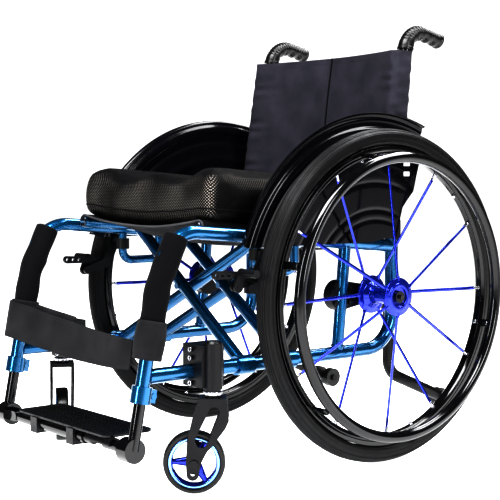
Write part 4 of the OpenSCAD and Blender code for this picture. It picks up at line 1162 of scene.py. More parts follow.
@dataclass
class RearWheel:
    """A rear wheel: tyre with fine lines, boxed rim, flat spokes, turned hub and handrim.

    Attributes:
        side: Side of the chair.
        section: Radius of the tyre's section.
        skin: Depth of the tyre's plain surface under that radius.
        bead: Angle round the section where the tyre meets the rim, degrees.
        grooves: Angles of the grooves in the tread.
        lines: Angles of the raised lines on the sides.
        rim_r: Outer radius of the rim.
        rim_in: Inner radius of the rim.
        rim_half: Half the width of the rim.
        spokes: Number of spokes.
        blade: Half the width and half the depth of a spoke.
        flange_r: Radius of the hub's flanges.
        flange_out: Height of the outer flange's middle from the wheel plane.
        flange_in: Height of the inner flange's middle from the wheel plane.
        hub_section: Radius and height of the turned hub's corners.
        handrim_r: Radius of the handrim's middle line.
        handrim_out: Distance of the handrim from the wheel plane.
        handrim_tube: Radius of the handrim's tube.
        tabs: Number of handrim tabs.
        tab: Thickness and width of a tab.
        segments: Segments in a turn of the large rings.
    """

    side: Side
    section: float = 17.0
    skin: float = 0.6
    bead: float = 151.0
    grooves: tuple[float, ...] = (0.0, 13.0, 26.0, 39.0)
    lines: tuple[float, ...] = (58.0, 66.0, 108.0, 116.0)
    rim_r: float = 273.0
    rim_in: float = 255.0
    rim_half: float = 12.0
    spokes: int = 12
    blade: Pair = (3.2, 1.5)
    flange_r: float = 35.0
    flange_out: float = 27.5
    flange_in: float = -39.5
    hub_section: tuple[Pair, ...] = (
        (6.1, -45), (15, -45), (16, -42), (35, -42), (35, -37), (25, -35), (18, -28), (15, -18), (15, 10),
        (18, 18), (24, 23), (35, 25), (35, 30), (26, 31), (24, 33), (18.5, 33), (17.5, 28), (6.1, 28))
    handrim_r: float = 252.0
    handrim_out: float = 45.0
    handrim_tube: float = 10.0
    tabs: int = 6
    tab: Pair = (5.0, 14.0)
    segments: int = 160

    @property
    def spindle(self) -> Spindle:
        """The wheel's axle line, outwards from the wheel plane."""
        centre = Vector((self.side.value * WHEEL_X, 0, WHEEL_R))
        return Spindle(centre, X_AXIS * self.side.value, Z_AXIS * -self.side.value)

    @property
    def body(self) -> str:
        """The body that the wheel's pieces ride on."""
        return self.side.body("rear_wheel")

    def build(self) -> list[Piece]:
        """Builds the wheel's pieces.

        Returns:
            The pieces.
        """
        return [self.tyre(), self.rim(), *self.lacing(), self.hub(), self.handrim(), self.fasteners()]

    def spoke_seats(self) -> list[Pair]:
        """Angle of each spoke and height of its flange, outer and inner by turns."""
        heights = (self.flange_out, self.flange_in)
        return [(360 * k / self.spokes, heights[k % 2]) for k in range(self.spokes)]

    def tab_angles(self) -> list[float]:
        """Angles of the handrim's tabs, in degrees."""
        return [360 * (k + 0.25) / self.tabs for k in range(self.tabs)]

    def tyre(self) -> Piece:
        """The tyre, with grooves in its tread and fine lines on its sides.

        Returns:
            The piece.
        """
        profile = []
        for degrees in spaced(-self.bead, self.bead, 150):
            groove = sum(hump(abs(degrees), middle, 1.6) for middle in self.grooves)
            line = sum(0.9 * hump(abs(degrees), middle, 2.2) for middle in self.lines)
            r, a = self.section - self.skin - groove + line, math.radians(degrees)
            profile.append((WHEEL_R - self.section + r * math.cos(a), r * math.sin(a)))
        shape = Shape()
        shape.lathe(profile, self.spindle, self.segments)
        return shape.piece(self.side.node("tyre"), TYRE_GREY, self.body, [self.side.node("rear_tyre")], 60)

    def rim(self) -> Piece:
        """The boxed rim, with a turned line round each side.

        Returns:
            The piece.
        """
        low, half = self.rim_in, self.rim_half
        face = [(low, half - 6), (low + 4, half), (low + 8, half), (low + 9, half - 0.8), (low + 10, half),
                (self.rim_r, half)]
        shape = Shape()
        shape.lathe(softened(both_faces(face), 1.0), self.spindle, self.segments)
        return shape.piece(self.side.node("rim"), GLOSS_BLACK, self.body, [self.side.node("rear_rim")])

    def lacing(self) -> list[Piece]:
        """The flat spokes and their nipples.

        Returns:
            The two pieces.
        """
        blades, nipples = Shape(), Shape()
        for angle, height in self.spoke_seats():
            root = self.spindle.at(angle, self.flange_r - 3, height)
            end = self.spindle.at(angle, self.rim_in + 0.5, 0)
            along = (end - root).normalized()
            across = self.spindle.turn(angle).col[1]
            blades.tube([root, end - along * 8], lambda s, a: oval(a, *self.blade), across, 16)
            nipples.tube([end - along * back for back in (13.5, 12, 5, 4, 0)],
                         lambda s, a: 2.6 if s < 1 else 3.0 if s < 9 else 3.7, across, 14)
        node = self.side.node
        return [blades.piece(node("spokes"), ROYAL_BLUE, self.body, [node("rear_spokes")]),
                nipples.piece(node("nipples"), STEEL, self.body)]

    def hub(self) -> Piece:
        """The turned hub, with a recess for the axle's head and a boss at each spoke.

        Returns:
            The piece.
        """
        shape = Shape()
        shape.lathe(softened(self.hub_section, 1.2), self.spindle, 72)
        for angle, height in self.spoke_seats():
            inner, outer = (self.spindle.at(angle, self.flange_r + r, height) for r in (-6, 3))
            shape.rod(inner, outer, 3.6, 0.8, 16)
        return shape.piece(self.side.node("hub"), ROYAL_BLUE, self.body, [self.side.node("rear_hub")])

    def handrim(self) -> Piece:
        """The handrim tube and its tabs.

        Returns:
            The piece.
        """
        shape = Shape()
        tube = circle_profile(self.handrim_r, self.handrim_out, self.handrim_tube)
        shape.lathe(tube, self.spindle, self.segments)
        reach = self.handrim_out - 4 - self.rim_half
        for angle in self.tab_angles():
            middle = self.spindle.at(angle, self.rim_in + 8, self.rim_half + reach / 2)
            shape.block(middle, (*self.tab, reach), self.spindle.turn(angle), 1.2)
        return shape.piece(self.side.node("hand_ring"), GLOSS_BLACK, self.body, [self.side.node("handrim")])

    def fasteners(self) -> Piece:
        """The screws of the handrim tabs, seen inside the rim and on the tabs.

        Returns:
            The piece.
        """
        shape = Shape()
        for angle in self.tab_angles():
            for root, tip, height, radius, soft in ((1, -4, 0, 4.2, 1.0), (6, 3, 23, 3.6, 0.8)):
                start, stop = (self.spindle.at(angle, self.rim_in + r, height) for r in (root, tip))
                shape.rod(start, stop, radius, soft)
        return shape.piece(self.side.node("handrim_screws"), STEEL, self.body)


@dataclass
class CasterWheel:
    """A caster wheel: black tyre, bright outer ring and blue rim with three spokes.

    Attributes:
        side: Side of the chair.
        tyre_t: Thickness of the tyre.
        half: Half the width of the tyre.
        tread: Half the width of the tyre's flat tread.
        rim_half: Half the width of the rim.
        hub: Radius and half width of the hub's corners.
        spokes: Number of spokes.
        left_turn: Direction of the left wheel's axle, degrees from the user's left.
        right_turn: Direction of the right wheel's axle.
        segments: Segments in a turn of the tyre.
    """

    side: Side
    tyre_t: float = 9.0
    half: float = 12.0
    tread: float = 6.0
    rim_half: float = 10.0
    hub: tuple[Pair, ...] = ((4.1, 17.5), (9.0, 17.5), (12.0, 13.0))
    spokes: int = 3
    left_turn: float = 141.0
    right_turn: float = 61.0
    segments: int = 96

    def build(self) -> list[Piece]:
        """Builds the caster's wheel.

        Returns:
            The pieces.
        """
        low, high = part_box(self.side.node("caster_tyre"))
        middle = (low + high) / 2
        centre = Vector((middle.x / MM, (middle.y - AXLE_Y) / MM, middle.z / MM))
        turn = math.radians(self.left_turn if self.side is Side.LEFT else self.right_turn)
        spindle = Spindle(centre, Vector((math.cos(turn), math.sin(turn), 0)), Z_AXIS)
        radius = (high.z - low.z) / 2 / MM
        rim_r, body = radius - self.tyre_t, self.side.body("caster_wheel")
        return [self.tyre(spindle, rim_r, radius).piece(self.side.node("small_tyre"), GRIP_BLACK, body,
                                                        [self.side.node("caster_tyre")], 60),
                self.ring(spindle, rim_r).piece(self.side.node("bright_ring"), POLISHED, body),
                self.rim(spindle, rim_r).piece(self.side.node("small_rim"), ROYAL_BLUE, body,
                                               [self.side.node("caster_rim")])]

    def tyre(self, spindle: Spindle, rim_r: float, radius: float) -> Shape:
        """The tyre with its rounded shoulders.

        Args:
            spindle: The wheel's axle line.
            rim_r: Radius of the rim.
            radius: Radius of the tyre.

        Returns:
            The shape.
        """
        face = [(rim_r, self.half), (radius - 1, self.half), (radius, self.tread)]
        shape = Shape()
        shape.lathe(softened(both_faces(face), 5.0, 5), spindle, self.segments)
        return shape

    def ring(self, spindle: Spindle, rim_r: float) -> Shape:
        """The bright lip on each side of the rim.

        Args:
            spindle: The wheel's axle line.
            rim_r: Radius of the rim.

        Returns:
            The shape.
        """
        lip = ((5.4, 9.4), (5.4, 11.2), (3.0, 11.9), (0.4, 11.6), (0.4, 9.4))
        shape = Shape()
        for sign in (-1, 1):
            section = softened([(rim_r - inset, sign * h) for inset, h in lip], 0.8)
            shape.lathe(section, spindle, self.segments)
        return shape

    def rim(self, spindle: Spindle, rim_r: float) -> Shape:
        """The rim, the hub and the spokes between them.

        Args:
            spindle: The wheel's axle line.
            rim_r: Radius of the rim.

        Returns:
            The shape.
        """
        shape = Shape()
        band = [(rim_r - 6, -self.rim_half), (rim_r, -self.rim_half), (rim_r, self.rim_half),
                (rim_r - 6, self.rim_half), (rim_r - 8, 0)]
        shape.lathe(softened(band, 1.0), spindle, self.segments)
        shape.lathe(softened(both_faces(self.hub), 1.0), spindle, 48)
        for k in range(self.spokes):
            out = spindle.out(math.radians(360 / self.spokes * (k + 0.25)))
            shape.tube([spindle.centre + out * r for r in (8, 16, 24, rim_r - 5)],
                       lambda s, a: oval(a, 9 - s * 0.17, 6), spindle.axis.cross(out), 24)
        return shape


@dataclass
class SideGuard:
    """A moulded guard: rolled edge over the tyre, round grooves and a panel down to the seat rail.

    Attributes:
        side: Side of the chair.
        inner: Distance of the panel's inner face from the centre plane.
        thick: Thickness of the panel.
        edge_r: Radius of the rolled edge.
        roll: Radius of the roll itself.
        lip: Width of the rolled lip.
        low: Height of the lower edge above the axle.
        front: Angle of the front end, degrees.
        rear: Radius and angle of the corners of the rear edge.
        ribs: Radius, width and depth of the fine ribs.
        slot: Length and height of a slot at the rear.
        slot_at: Place and height of the lowest slot.
        slot_step: Step back and up from a slot to the next.
        slots: Number of slots.
    """

    side: Side
    inner: float = 231.0
    thick: float = 3.0
    edge_r: float = 334.0
    roll: float = 6.0
    lip: float = 12.0
    low: float = 97.0
    front: float = 72.0
    rear: tuple[Pair, ...] = (
        (97.0, 0.0), (117.3, -34.2), (153.9, -25.4), (174.5, -24.4), (214.0, -28.1), (244.0, -26.6),
        (282.0, -25.2), (318.0, -23.0), (334.0, -21.5))
    ribs: tuple[Place, ...] = ((252.0, 9.0, 2.4), (206.0, 4.0, 1.2), (156.0, 4.0, 1.2), (138.0, 4.0, 0.9))
    slot: Pair = (20.0, 9.0)
    slot_at: Pair = (84.0, 527.0)
    slot_step: Pair = (1.0, 19.0)
    slots: int = 3

    def build(self) -> list[Piece]:
        """Builds the guard.

        Returns:
            The one piece.
        """
        front, back = [], []
        for r, x, relief in self.section():
            outer, inner = [], []
            for a in spaced(*self.span(r), 80):
                push = relief * self.fade(r, a)
                outer.append(self.at(r, a, x + self.thick + push))
                inner.append(self.at(r - (self.thick if x > 1 else 0), a, x + push))
            front.append(outer)
            back.append(inner)
        shape = Shape()
        shape.sheet(front, back)
        guard = shape.mirrored(self.side).piece(self.side.node("guard"), GUARD_BLACK, self.side.body("frame"),
                                                [self.side.node("side_guard")], 50)
        self.cut_slots(guard)
        return [guard]

    def cut_slots(self, guard: Piece) -> None:
        """Cuts the slots at the rear out of the panel.

        Args:
            guard: The finished panel.
        """
        tool = Shape()
        for k in range(self.slots):
            y, z = (first + k * step for first, step in zip(self.slot_at, self.slot_step))
            tool.block(Vector((self.inner, y, z)), (30, *self.slot), Matrix.Identity(3), 2.0)
        knife = bpy.data.objects.new("knife", tool.mirrored(self.side).mesh("knife"))
        bpy.context.scene.collection.objects.link(knife)
        cut = guard.modifiers.new("slots", "BOOLEAN")
        cut.object = knife
        bake_modifiers(guard)
        bpy.data.objects.remove(knife)

    def at(self, r: float, degrees: float, x: float) -> Vector:
        """A point of the guard at a radius and an angle about the axle."""
        a = math.radians(degrees)
        return Vector((self.inner + x, -r * math.sin(a), WHEEL_R + r * math.cos(a)))

    def span(self, r: float) -> Pair:
        """The first and last angle of the panel at a radius."""
        floor = math.degrees(math.acos(min(1.0, self.low / r)))
        return float(np.interp(r, *zip(*self.rear))), min(self.front, floor)

    def section(self) -> list[Place]:
        """The guard's section, from its lower edge to its lip.

        Returns:
            Radius, height and depth of relief of each point.
        """
        bend = self.edge_r - self.roll
        flat = [(r, 0.0, self.relief(r)) for r in np.linspace(self.low + 0.3, bend, 150)]
        roll = [(bend + self.roll * math.sin(a), self.roll - self.roll * math.cos(a), 0.0)
                for a in np.linspace(0.25, math.pi / 2, 6)]
        return [*flat, *roll, (self.edge_r, self.lip - self.thick, 0.0)]

    def relief(self, r: float) -> float:
        """Depth of the moulded relief at a radius: a rolled bead, a groove and finer ribs."""
        ribs = sum(-depth * hump(r, middle, width) for middle, width, depth in self.ribs)
        return -4.5 * hump(r, 315, 9, 4) + 2.0 * hump(r, 292, 5) + ribs

    @staticmethod
    def fade(r: float, a: float) -> float:
        """Share of the relief at an angle; below the bead it dies out towards the rear edge."""
        return part_of((a + 24) / 10) if r < 300 else 1.0


@dataclass(frozen=True)
class SideFrame:
    """Lines of the left side frame that other pieces follow.

    Attributes:
        x: Distance of the side frame from the centre plane.
        foot: Place and height of the back post's foot.
        lean: Backward lean of the back post, degrees.
        tilt: Inward tilt of the back post, degrees.
        toe: Place and height of the front leg's lower end.
        rake: Backward lean of the front leg, degrees.
    """

    x: float = 208.0
    foot: Pair = (70.0, 424.0)
    lean: float = 7.6
    tilt: float = 1.9
    toe: Pair = (-504.0, 165.0)
    rake: float = 11.0

    def post_y(self, z: float) -> float:
        """Place of the back post's middle line at a height."""
        return self.foot[0] + (z - self.foot[1]) * math.tan(math.radians(self.lean))

    def post_x(self, z: float) -> float:
        """Distance of the back post's middle line from the centre plane at a height."""
        return self.x - (z - self.foot[1]) * math.tan(math.radians(self.tilt))

    def post_plane(self, y: float, z: float) -> Vector:
        """A point in the plane of the back post, turned inwards about its foot."""
        tilt, up = math.radians(self.tilt), z - self.foot[1]
        return Vector((self.x - up * math.sin(tilt), y, self.foot[1] + up * math.cos(tilt)))

    def leg(self, z: float) -> Vector:
        """A point on the front leg's middle line at a height."""
        return Vector((self.x, self.toe[0] + (z - self.toe[1]) * math.tan(math.radians(self.rake)), z))


SIDE_FRAME = SideFrame()


@dataclass
class PushGrip:
    """A push grip: rubber sleeve round the bent end of a back post, ribbed above and scalloped below.

    Attributes:
        side: Side of the chair.
        radius: Radius of the sleeve.
        low: Height of its lower end.
        bend: Height of the post's bend.
        bend_r: Radius of that bend.
        reach: Length from the bend to the tip.
        droop: Downward slope of the tip, degrees.
        rib: Pitch of the ribs.
        finger: Pitch of the finger scallops.
    """

    side: Side
    radius: float = 15.0
    low: float = 770.0
    bend: float = 806.0
    bend_r: float = 40.0
    reach: float = 92.0
    droop: float = 13.0
    rib: float = 5.2
    finger: float = 21.0

    def build(self) -> list[Piece]:
        """Builds the grip.

        Returns:
            The one piece.
        """
        droop = math.radians(self.droop)
        points = [SIDE_FRAME.post_plane(SIDE_FRAME.post_y(z), z) for z in (self.low, self.bend)]
        tip = SIDE_FRAME.post_plane(SIDE_FRAME.post_y(self.bend) + self.reach * math.cos(droop),
                                    self.bend - self.reach * math.sin(droop))
        path = resample(fillet([*points, tip], self.bend_r, 24), 1.0)
        length = path_length(path)
        shape = Shape()
        shape.tube(path, lambda s, a: self.sleeve(s, a, length), FORWARD, 40)
        return [shape.mirrored(self.side).piece(self.side.node("grip"), GRIP_BLACK, self.side.body("frame"),
                                                [self.side.node("push_grip")], 60)]

    def sleeve(self, s: float, a: float, length: float) -> float:
        """Radius of the sleeve with its ribs, finger scallops, collars and rounded ends.

        Args:
            s: Distance along the sleeve.
            a: Angle round it, from its front.
            length: Length of the sleeve.

        Returns:
            The radius.
        """
        top, below = max(0.0, math.cos(a)), max(0.0, -math.cos(a))
        held = part_of((s - 22) / 6) * part_of((length - 8 - s) / 6)
        rib = 0.9 * held * math.sqrt(top) * (math.sin(2 * math.pi * s / self.rib) - 1)
        scallop = 1.8 * held * below * (math.cos(2 * math.pi * s / self.finger) - 1)
        collar = 1.0 if s < 7 or s > length - 6 else 0.0
        return self.radius - 0.4 + rib + scallop + collar - end_rounding(s, length)


@dataclass
class LegPad:
    """A foam sleeve on a front leg, closed by a seam at the back.

    Attributes:
        side: Side of the chair.
        low: Height of its lower end.
        knee: Height where it starts to lean into the leg's bend.
        top: Place and height of its upper end.
        knee_r: Radius of that bend.
        radius: Its outer radius.
        flap: Distance of its flap's edge from the lower end.
    """

    side: Side
    low: float = 250.0
    knee: float = 348.0
    top: Pair = (-431.0, 426.0)
    knee_r: float = 90.0
    radius: float = 22.6
    flap: float = 122.0

    def build(self) -> list[Piece]:
        """Builds the pad.

        Returns:
            The one piece.
        """
        corners = [SIDE_FRAME.leg(self.low), SIDE_FRAME.leg(self.knee), Vector((SIDE_FRAME.x, *self.top))]
        path = resample(fillet(corners, self.knee_r), 2.0)
        length = path_length(path)
        shape = Shape()
        shape.tube(path, lambda s, a: self.sleeve(s, a, length), FORWARD, 48)
        pad = shape.mirrored(self.side).piece(self.side.node("pad"), PAD_CLOTH, self.side.body("frame"),
                                              [self.side.node("leg_pad")], 60)
        return [pad]

    def sleeve(self, s: float, a: float, length: float) -> float:
        """Radius of the pad with soft ends, slack creases, its seam and the overlap of its flap.

        Args:
            s: Distance along the pad.
            a: Angle round it, from its front.
            length: Length of the pad.

        Returns:
            The radius.
        """
        crease = 0.8 * math.sin(s / 9 + 1.3 * math.sin(2 * a)) * math.sin(math.pi * s / length)
        behind = abs(math.degrees(a) - 180)
        seam = 1.5 * hump(behind, 0, 6)
        flap = 1.6 * hump(s, self.flap, 7) * max(0.0, 1 - behind / 70)
        return self.radius - 1.6 + crease - seam + flap - end_rounding(s, length)


@dataclass(frozen=True)
class SeatPlane:
    """The sloping plane of the seat tubes.

    Attributes:
        height: Height of the plane over the axle.
        slope: Downward slope to the rear, degrees.
        tube_x: Distance of the seat tubes from the centre plane.
    """

    height: float = 405.0
    slope: float = 4.9
    tube_x: float = 181.0

    def at(self, x: float, y: float, z: float) -> Vector:
        """A point over the seat plane, in the chair's own axes."""
        return turn_x((x, y, z), -self.slope) + Vector((0, 0, self.height))


SEAT = SeatPlane()


def narrow_with_fold(pieces: Iterable[Piece]) -> None:
    """Gives each piece of the seat its own copy of its mesh.

    Args:
        pieces: The pieces.
    """
    for piece in pieces:
        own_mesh(piece)


def stretch_between_frames(pieces: Iterable[Piece]) -> None:
    """Bakes each piece's placement into its own mesh points.

    Args:
        pieces: The pieces.
    """
    for piece in pieces:
        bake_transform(piece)


@dataclass
class Cushion:
    """The seat cushion: foam in an air-mesh cover, with raised sides and a corded hem.

    Attributes:
        half: Half its width.
        front: Distance of its front ahead of the axle.
        length: Its depth from front to rear.
        corner: Radius of its corners.
        pull: Depth that its sides draw in between the corners.
        thick: Its thickness.
        lift: Height of its underside over the seat plane.
        bolster: Rise of its sides.
        sink: Depth that its underside sinks into the sling.
        foot: Height and inset of the rings of its lower edge.
        wall: Share of the thickness and inset of the rings above.
        top: Shares of the outline of the rings on top.
        around: Points in a ring.
        hem_at: Height of the hem over the underside.
        hem_r: Radius of the hem's cord.
        swell: Largest swelling of the cover, and size of its remesh, in metres.
        pressure: Pressure in the cover.
    """

    half: float = 209.0
    front: float = 370.0
    length: float = 395.0
    corner: float = 30.0
    pull: float = 5.0
    thick: float = 76.0
    lift: float = 15.0
    bolster: float = 14.0
    sink: float = 12.0
    foot: tuple[Pair, ...] = ((0.0, 27.0), (1.5, 16.0), (6.0, 8.0), (13.0, 3.0))
    wall: tuple[Pair, ...] = ((0.28, 1.0), (0.42, -0.5), (0.56, -0.5), (0.70, 1.0), (0.82, 4.0), (0.92, 9.5),
                              (0.975, 17.0), (1.0, 26.0))
    top: tuple[float, ...] = (0.8, 0.6, 0.4, 0.2, 0.08)
    around: int = 160
    hem_at: float = 17.0
    hem_r: float = 1.4
    swell: float = 0.006
    pressure: float = 3.0

    def build(self) -> list[Piece]:
        """Builds the cover and its hem.

        Returns:
            The pieces.
        """
        cover = self.cover()
        hem = self.hem(cover)
        narrow_with_fold((cover, hem))
        return [cover, hem]

    def outline(self, a: float, inset: float) -> Pair:
        """A point of the cushion's rounded outline.

        Args:
            a: Angle round the outline.
            inset: Distance inside the outline.

        Returns:
            Its x and y on the seat.
        """
        across, deep = self.half - self.corner, self.length / 2 - self.corner
        reach = max(abs(math.cos(a)) / self.half, abs(math.sin(a)) / (self.length / 2))
        x, y = math.cos(a) / reach, math.sin(a) / reach
        flat = Vector((max(-across, min(across, x)), max(-deep, min(deep, y))))
        over = Vector((x, y)) - flat
        round_off = over.normalized() * (self.corner - inset)
        drawn = Vector((x / self.half, y * 2 / self.length))
        x, y = flat + round_off
        x -= math.copysign(self.pull * (1 - drawn.y ** 2), x) if abs(drawn.x) > 0.99 else 0.0
        y -= math.copysign(self.pull * (1 - drawn.x ** 2), y) if abs(drawn.y) > 0.99 else 0.0
        return x, y + self.length / 2 - self.front

    def crown(self, x: float, y: float) -> float:
        """Height of the cushion's top: raised sides, leg troughs and a pommel between them.

        Args:
            x: Place across the seat.
            y: Place along the seat.

        Returns:
            The height over the underside.
        """
        u, v = x / self.half, (y + self.front) / self.length
        sides = self.bolster * (math.sin(math.pi / 2 * min(1.0, abs(u) / 0.82)) ** 4)
        trough = 7.0 * hump(abs(u), 0.45, 0.2) * (1 - v)
        pommel = 4.0 * hump(u, 0, 0.16) * (1 - v)
        return self.thick + sides - trough + pommel - 5 + 3 * math.sin(math.pi * v)

    def settle(self, x: float) -> float:
        """Depth that the cushion's underside sinks into the sling."""
        return self.sink * max(0.0, 1 - (x / (0.8 * self.half)) ** 2)

    def side_ring(self, inset: float, height: float = 0.0, share: float = 0.0) -> list[Vector]:
        """Points round the cushion's side.

        Args:
            inset: Distance inside the outline.
            height: Height over the underside.
            share: Share of the thickness that is added to that height.

        Returns:
            The ring.
        """
        ring = []
        for a in ring_angles(self.around):
            x, y = self.outline(a, inset)
            crown = self.crown(x, y)
            z = height + share * crown
            ring.append(SEAT.at(x, y, self.lift + z - self.settle(x) * (1 - z / crown)))
        return ring

    def top_ring(self, share: float) -> list[Vector]:
        """Points of a smaller ring on the cushion's top.

        Args:
            share: Size of the ring beside the top's own edge.

        Returns:
            The ring.
        """
        middle = self.length / 2 - self.front
        ring = []
        for a in ring_angles(self.around):
            x, y = self.outline(a, self.wall[-1][1])
            x, y = x * share, middle + (y - middle) * share
            ring.append(SEAT.at(x, y, self.lift + self.crown(x, y)))
        return ring

    def cover(self) -> Piece:
        """The stuffed cover.

        Returns:
            The piece.
        """
        rings = [self.side_ring(inset, height=height) for height, inset in self.foot]
        rings += [self.side_ring(inset, share=share) for share, inset in self.wall]
        rings += [self.top_ring(share) for share in self.top]
        shape = Shape()
        shape.grid(rings, wrap_cols=True)
        shape.cap(rings[0])
        shape.cap(rings[-1])
        piece = shape.piece("cushion_cover", CUSHION_MESH, None, ["cushion"], 75)
        inflate(piece, self.swell, self.pressure, self.swell)
        smooth = piece.modifiers.new("smooth", "SUBSURF")
        smooth.levels = smooth.render_levels = 1
        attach(piece, "seat")
        return piece

    def hem(self, cover: Piece) -> Piece:
        """The cord of the hem, laid on the finished cover near its lower edge.

        Args:
            cover: The cover.

        Returns:
            The piece.
        """
        path, axle = [], Vector((0, AXLE_Y / MM, 0))
        surface = BVHTree.FromObject(cover, bpy.context.evaluated_depsgraph_get())
        for a in ring_angles(200):
            x, y = self.outline(a, 2.0)
            wanted = SEAT.at(x, y, self.lift + self.hem_at - self.settle(x) * 0.77)
            path.append(surface.find_nearest((wanted + axle) * MM)[0] / MM - axle)
        shape = Shape()
        shape.tube(path, lambda s, a: self.hem_r, Z_AXIS, 10, closed=True)
        return shape.piece("cushion_hem", PIPING, "seat")


def inflate(piece: Piece, voxel: float, pressure: float, cap: float, frames: int = 20) -> None:
    """Swells a stuffed piece with a cloth simulation and keeps the result.

    Args:
        piece: Closed mesh.
        voxel: Size of the remesh, in metres.
        pressure: Pressure inside.
        cap: Largest distance that a point may move, in metres.
        frames: Steps of the simulation.
    """
    scene = bpy.context.scene
    remesh = piece.modifiers.new("remesh", "REMESH")
    remesh.mode = "VOXEL"
    remesh.voxel_size = voxel
    remesh.use_smooth_shade = True
    bake_modifiers(piece)
    rest = mesh_points(piece.data)
    cloth = piece.modifiers.new("cloth", "CLOTH")
    cloth.settings.use_pressure = True
    cloth.settings.uniform_pressure_force = pressure
    cloth.settings.effector_weights.gravity = 0.0
    cloth.settings.quality = 5
    cloth.point_cache.frame_start = 1
    cloth.point_cache.frame_end = frames
    for number in range(1, frames + 1):
        scene.frame_set(number)
    swollen = piece.evaluated_get(bpy.context.evaluated_depsgraph_get()).data
    moved = mesh_points(swollen) - rest
    piece.modifiers.remove(cloth)
    scene.frame_set(1)
    reach = np.linalg.norm(moved, axis=1, keepdims=True)
    moved *= np.minimum(1.0, cap / np.maximum(reach, 1e-9))
    piece.data.vertices.foreach_set("co", (rest + moved).astype(np.float32).ravel())
    piece.data.update()


def mesh_points(mesh: bpy.types.Mesh) -> np.ndarray:
    """The places of a mesh's points.

    Args:
        mesh: The mesh.

    Returns:
        One row a point.
    """
    flat = np.zeros(len(mesh.vertices) * 3, np.float32)
    mesh.vertices.foreach_get("co", flat)
    return flat.reshape(-1, 3).astype(float)


def bake_modifiers(piece: Piece) -> None:
    """Keeps the result of a piece's modifiers as its own mesh.

    Args:
        piece: The piece.
    """
    made = piece.evaluated_get(bpy.context.evaluated_depsgraph_get())
    mesh = bpy.data.meshes.new_from_object(made)
    piece.modifiers.clear()
    piece.data = mesh


@dataclass
class SeatSling:
    """The seat sling: nylon hooked round both seat tubes, sagging between them, with hemmed ends.

    Attributes:
        hook_r: Radius of the sling's inner face round a tube.
        hook: Angle that the sling reaches round a tube, degrees.
        sag: Depth of the sag.
        front_sag: Depth of the sag at the front edge.
        sag_run: Length over which the sag grows from there.
        thick: Thickness of the cloth.
        front: Distance of the front edge ahead of the axle.
        rear: Distance of the rear edge behind the axle.
        cord: Radius of the front edge's cord.
        rows: Rows along the seat.
        sewn: Rows that carry stitches.
    """

    hook_r: float = 11.4
    hook: float = 130.0
    sag: float = 38.0
    front_sag: float = 15.0
    sag_run: float = 150.0
    thick: float = 2.2
    front: float = 368.0
    rear: float = 38.0
    cord: float = 1.9
    rows: int = 45
    sewn: tuple[int, ...] = (2, 4)

    def build(self) -> list[Piece]:
        """Builds the sling, its front cord and its stitches.

        Returns:
            The pieces.
        """
        lower, upper = [], []
        for y in spaced(-self.front, self.rear, self.rows - 1):
            section = self.section(y)
            lower.append([SEAT.at(x, y, z) for x, z, _ in section])
            upper.append([SEAT.at(x - self.thick * math.sin(a), y, z + self.thick * math.cos(a))
                          for x, z, a in section])
        cloth, cord, rows = Shape(), Shape(), Shape()
        cloth.sheet(upper, lower)
        cord.tube([(a + b) / 2 for a, b in zip(upper[0], lower[0])], lambda s, a: self.cord, Z_AXIS, 10)
        for k in self.sewn:
            rows.stitches([p - Z_AXIS * 0.3 for p in lower[k]], -Z_AXIS)
        sling = cloth.piece("sling", SLING_CLOTH, "seat", ["seat_sling"], 50)
        piping = cord.piece("sling_front_cord", STRAP_EDGE, "seat")
        thread = rows.piece("sling_stitches", THREAD, "seat")
        narrow_with_fold((sling, piping, thread))
        return [sling, piping, thread]

    def section(self, y: float) -> list[Place]:
        """The sling's inner line, hooked round one tube, across and round the other.

        Args:
            y: Place along the seat.

        Returns:
            The x, z and slope angle of each point.
        """
        grown = math.sin(math.pi / 2 * min(1.0, (y + self.front) / self.sag_run))
        sag = self.front_sag + (self.sag - self.front_sag) * grown
        lean = math.atan(2.1 * sag / SEAT.tube_x)
        hang = SEAT.tube_x - self.hook_r * math.sin(lean)
        hook = [(SEAT.tube_x + self.hook_r * math.sin(a), self.hook_r * math.cos(a), a)
                for a in spaced(-lean, math.radians(self.hook), 12)[1:]]
        across = []
        for u in spaced(-1, 1, 48):
            ripple = 0.7 * math.sin(y / 23 + 5 * u) * (1 - u * u)
            z = self.hook_r * math.cos(lean) - sag * (1 - u * u) + ripple
            across.append((hang * u, z, math.atan2(2 * sag * u, hang)))
        return [*((-x, z, a) for x, z, a in reversed(hook)), *across, *((x, z, -a) for x, z, a in hook)]


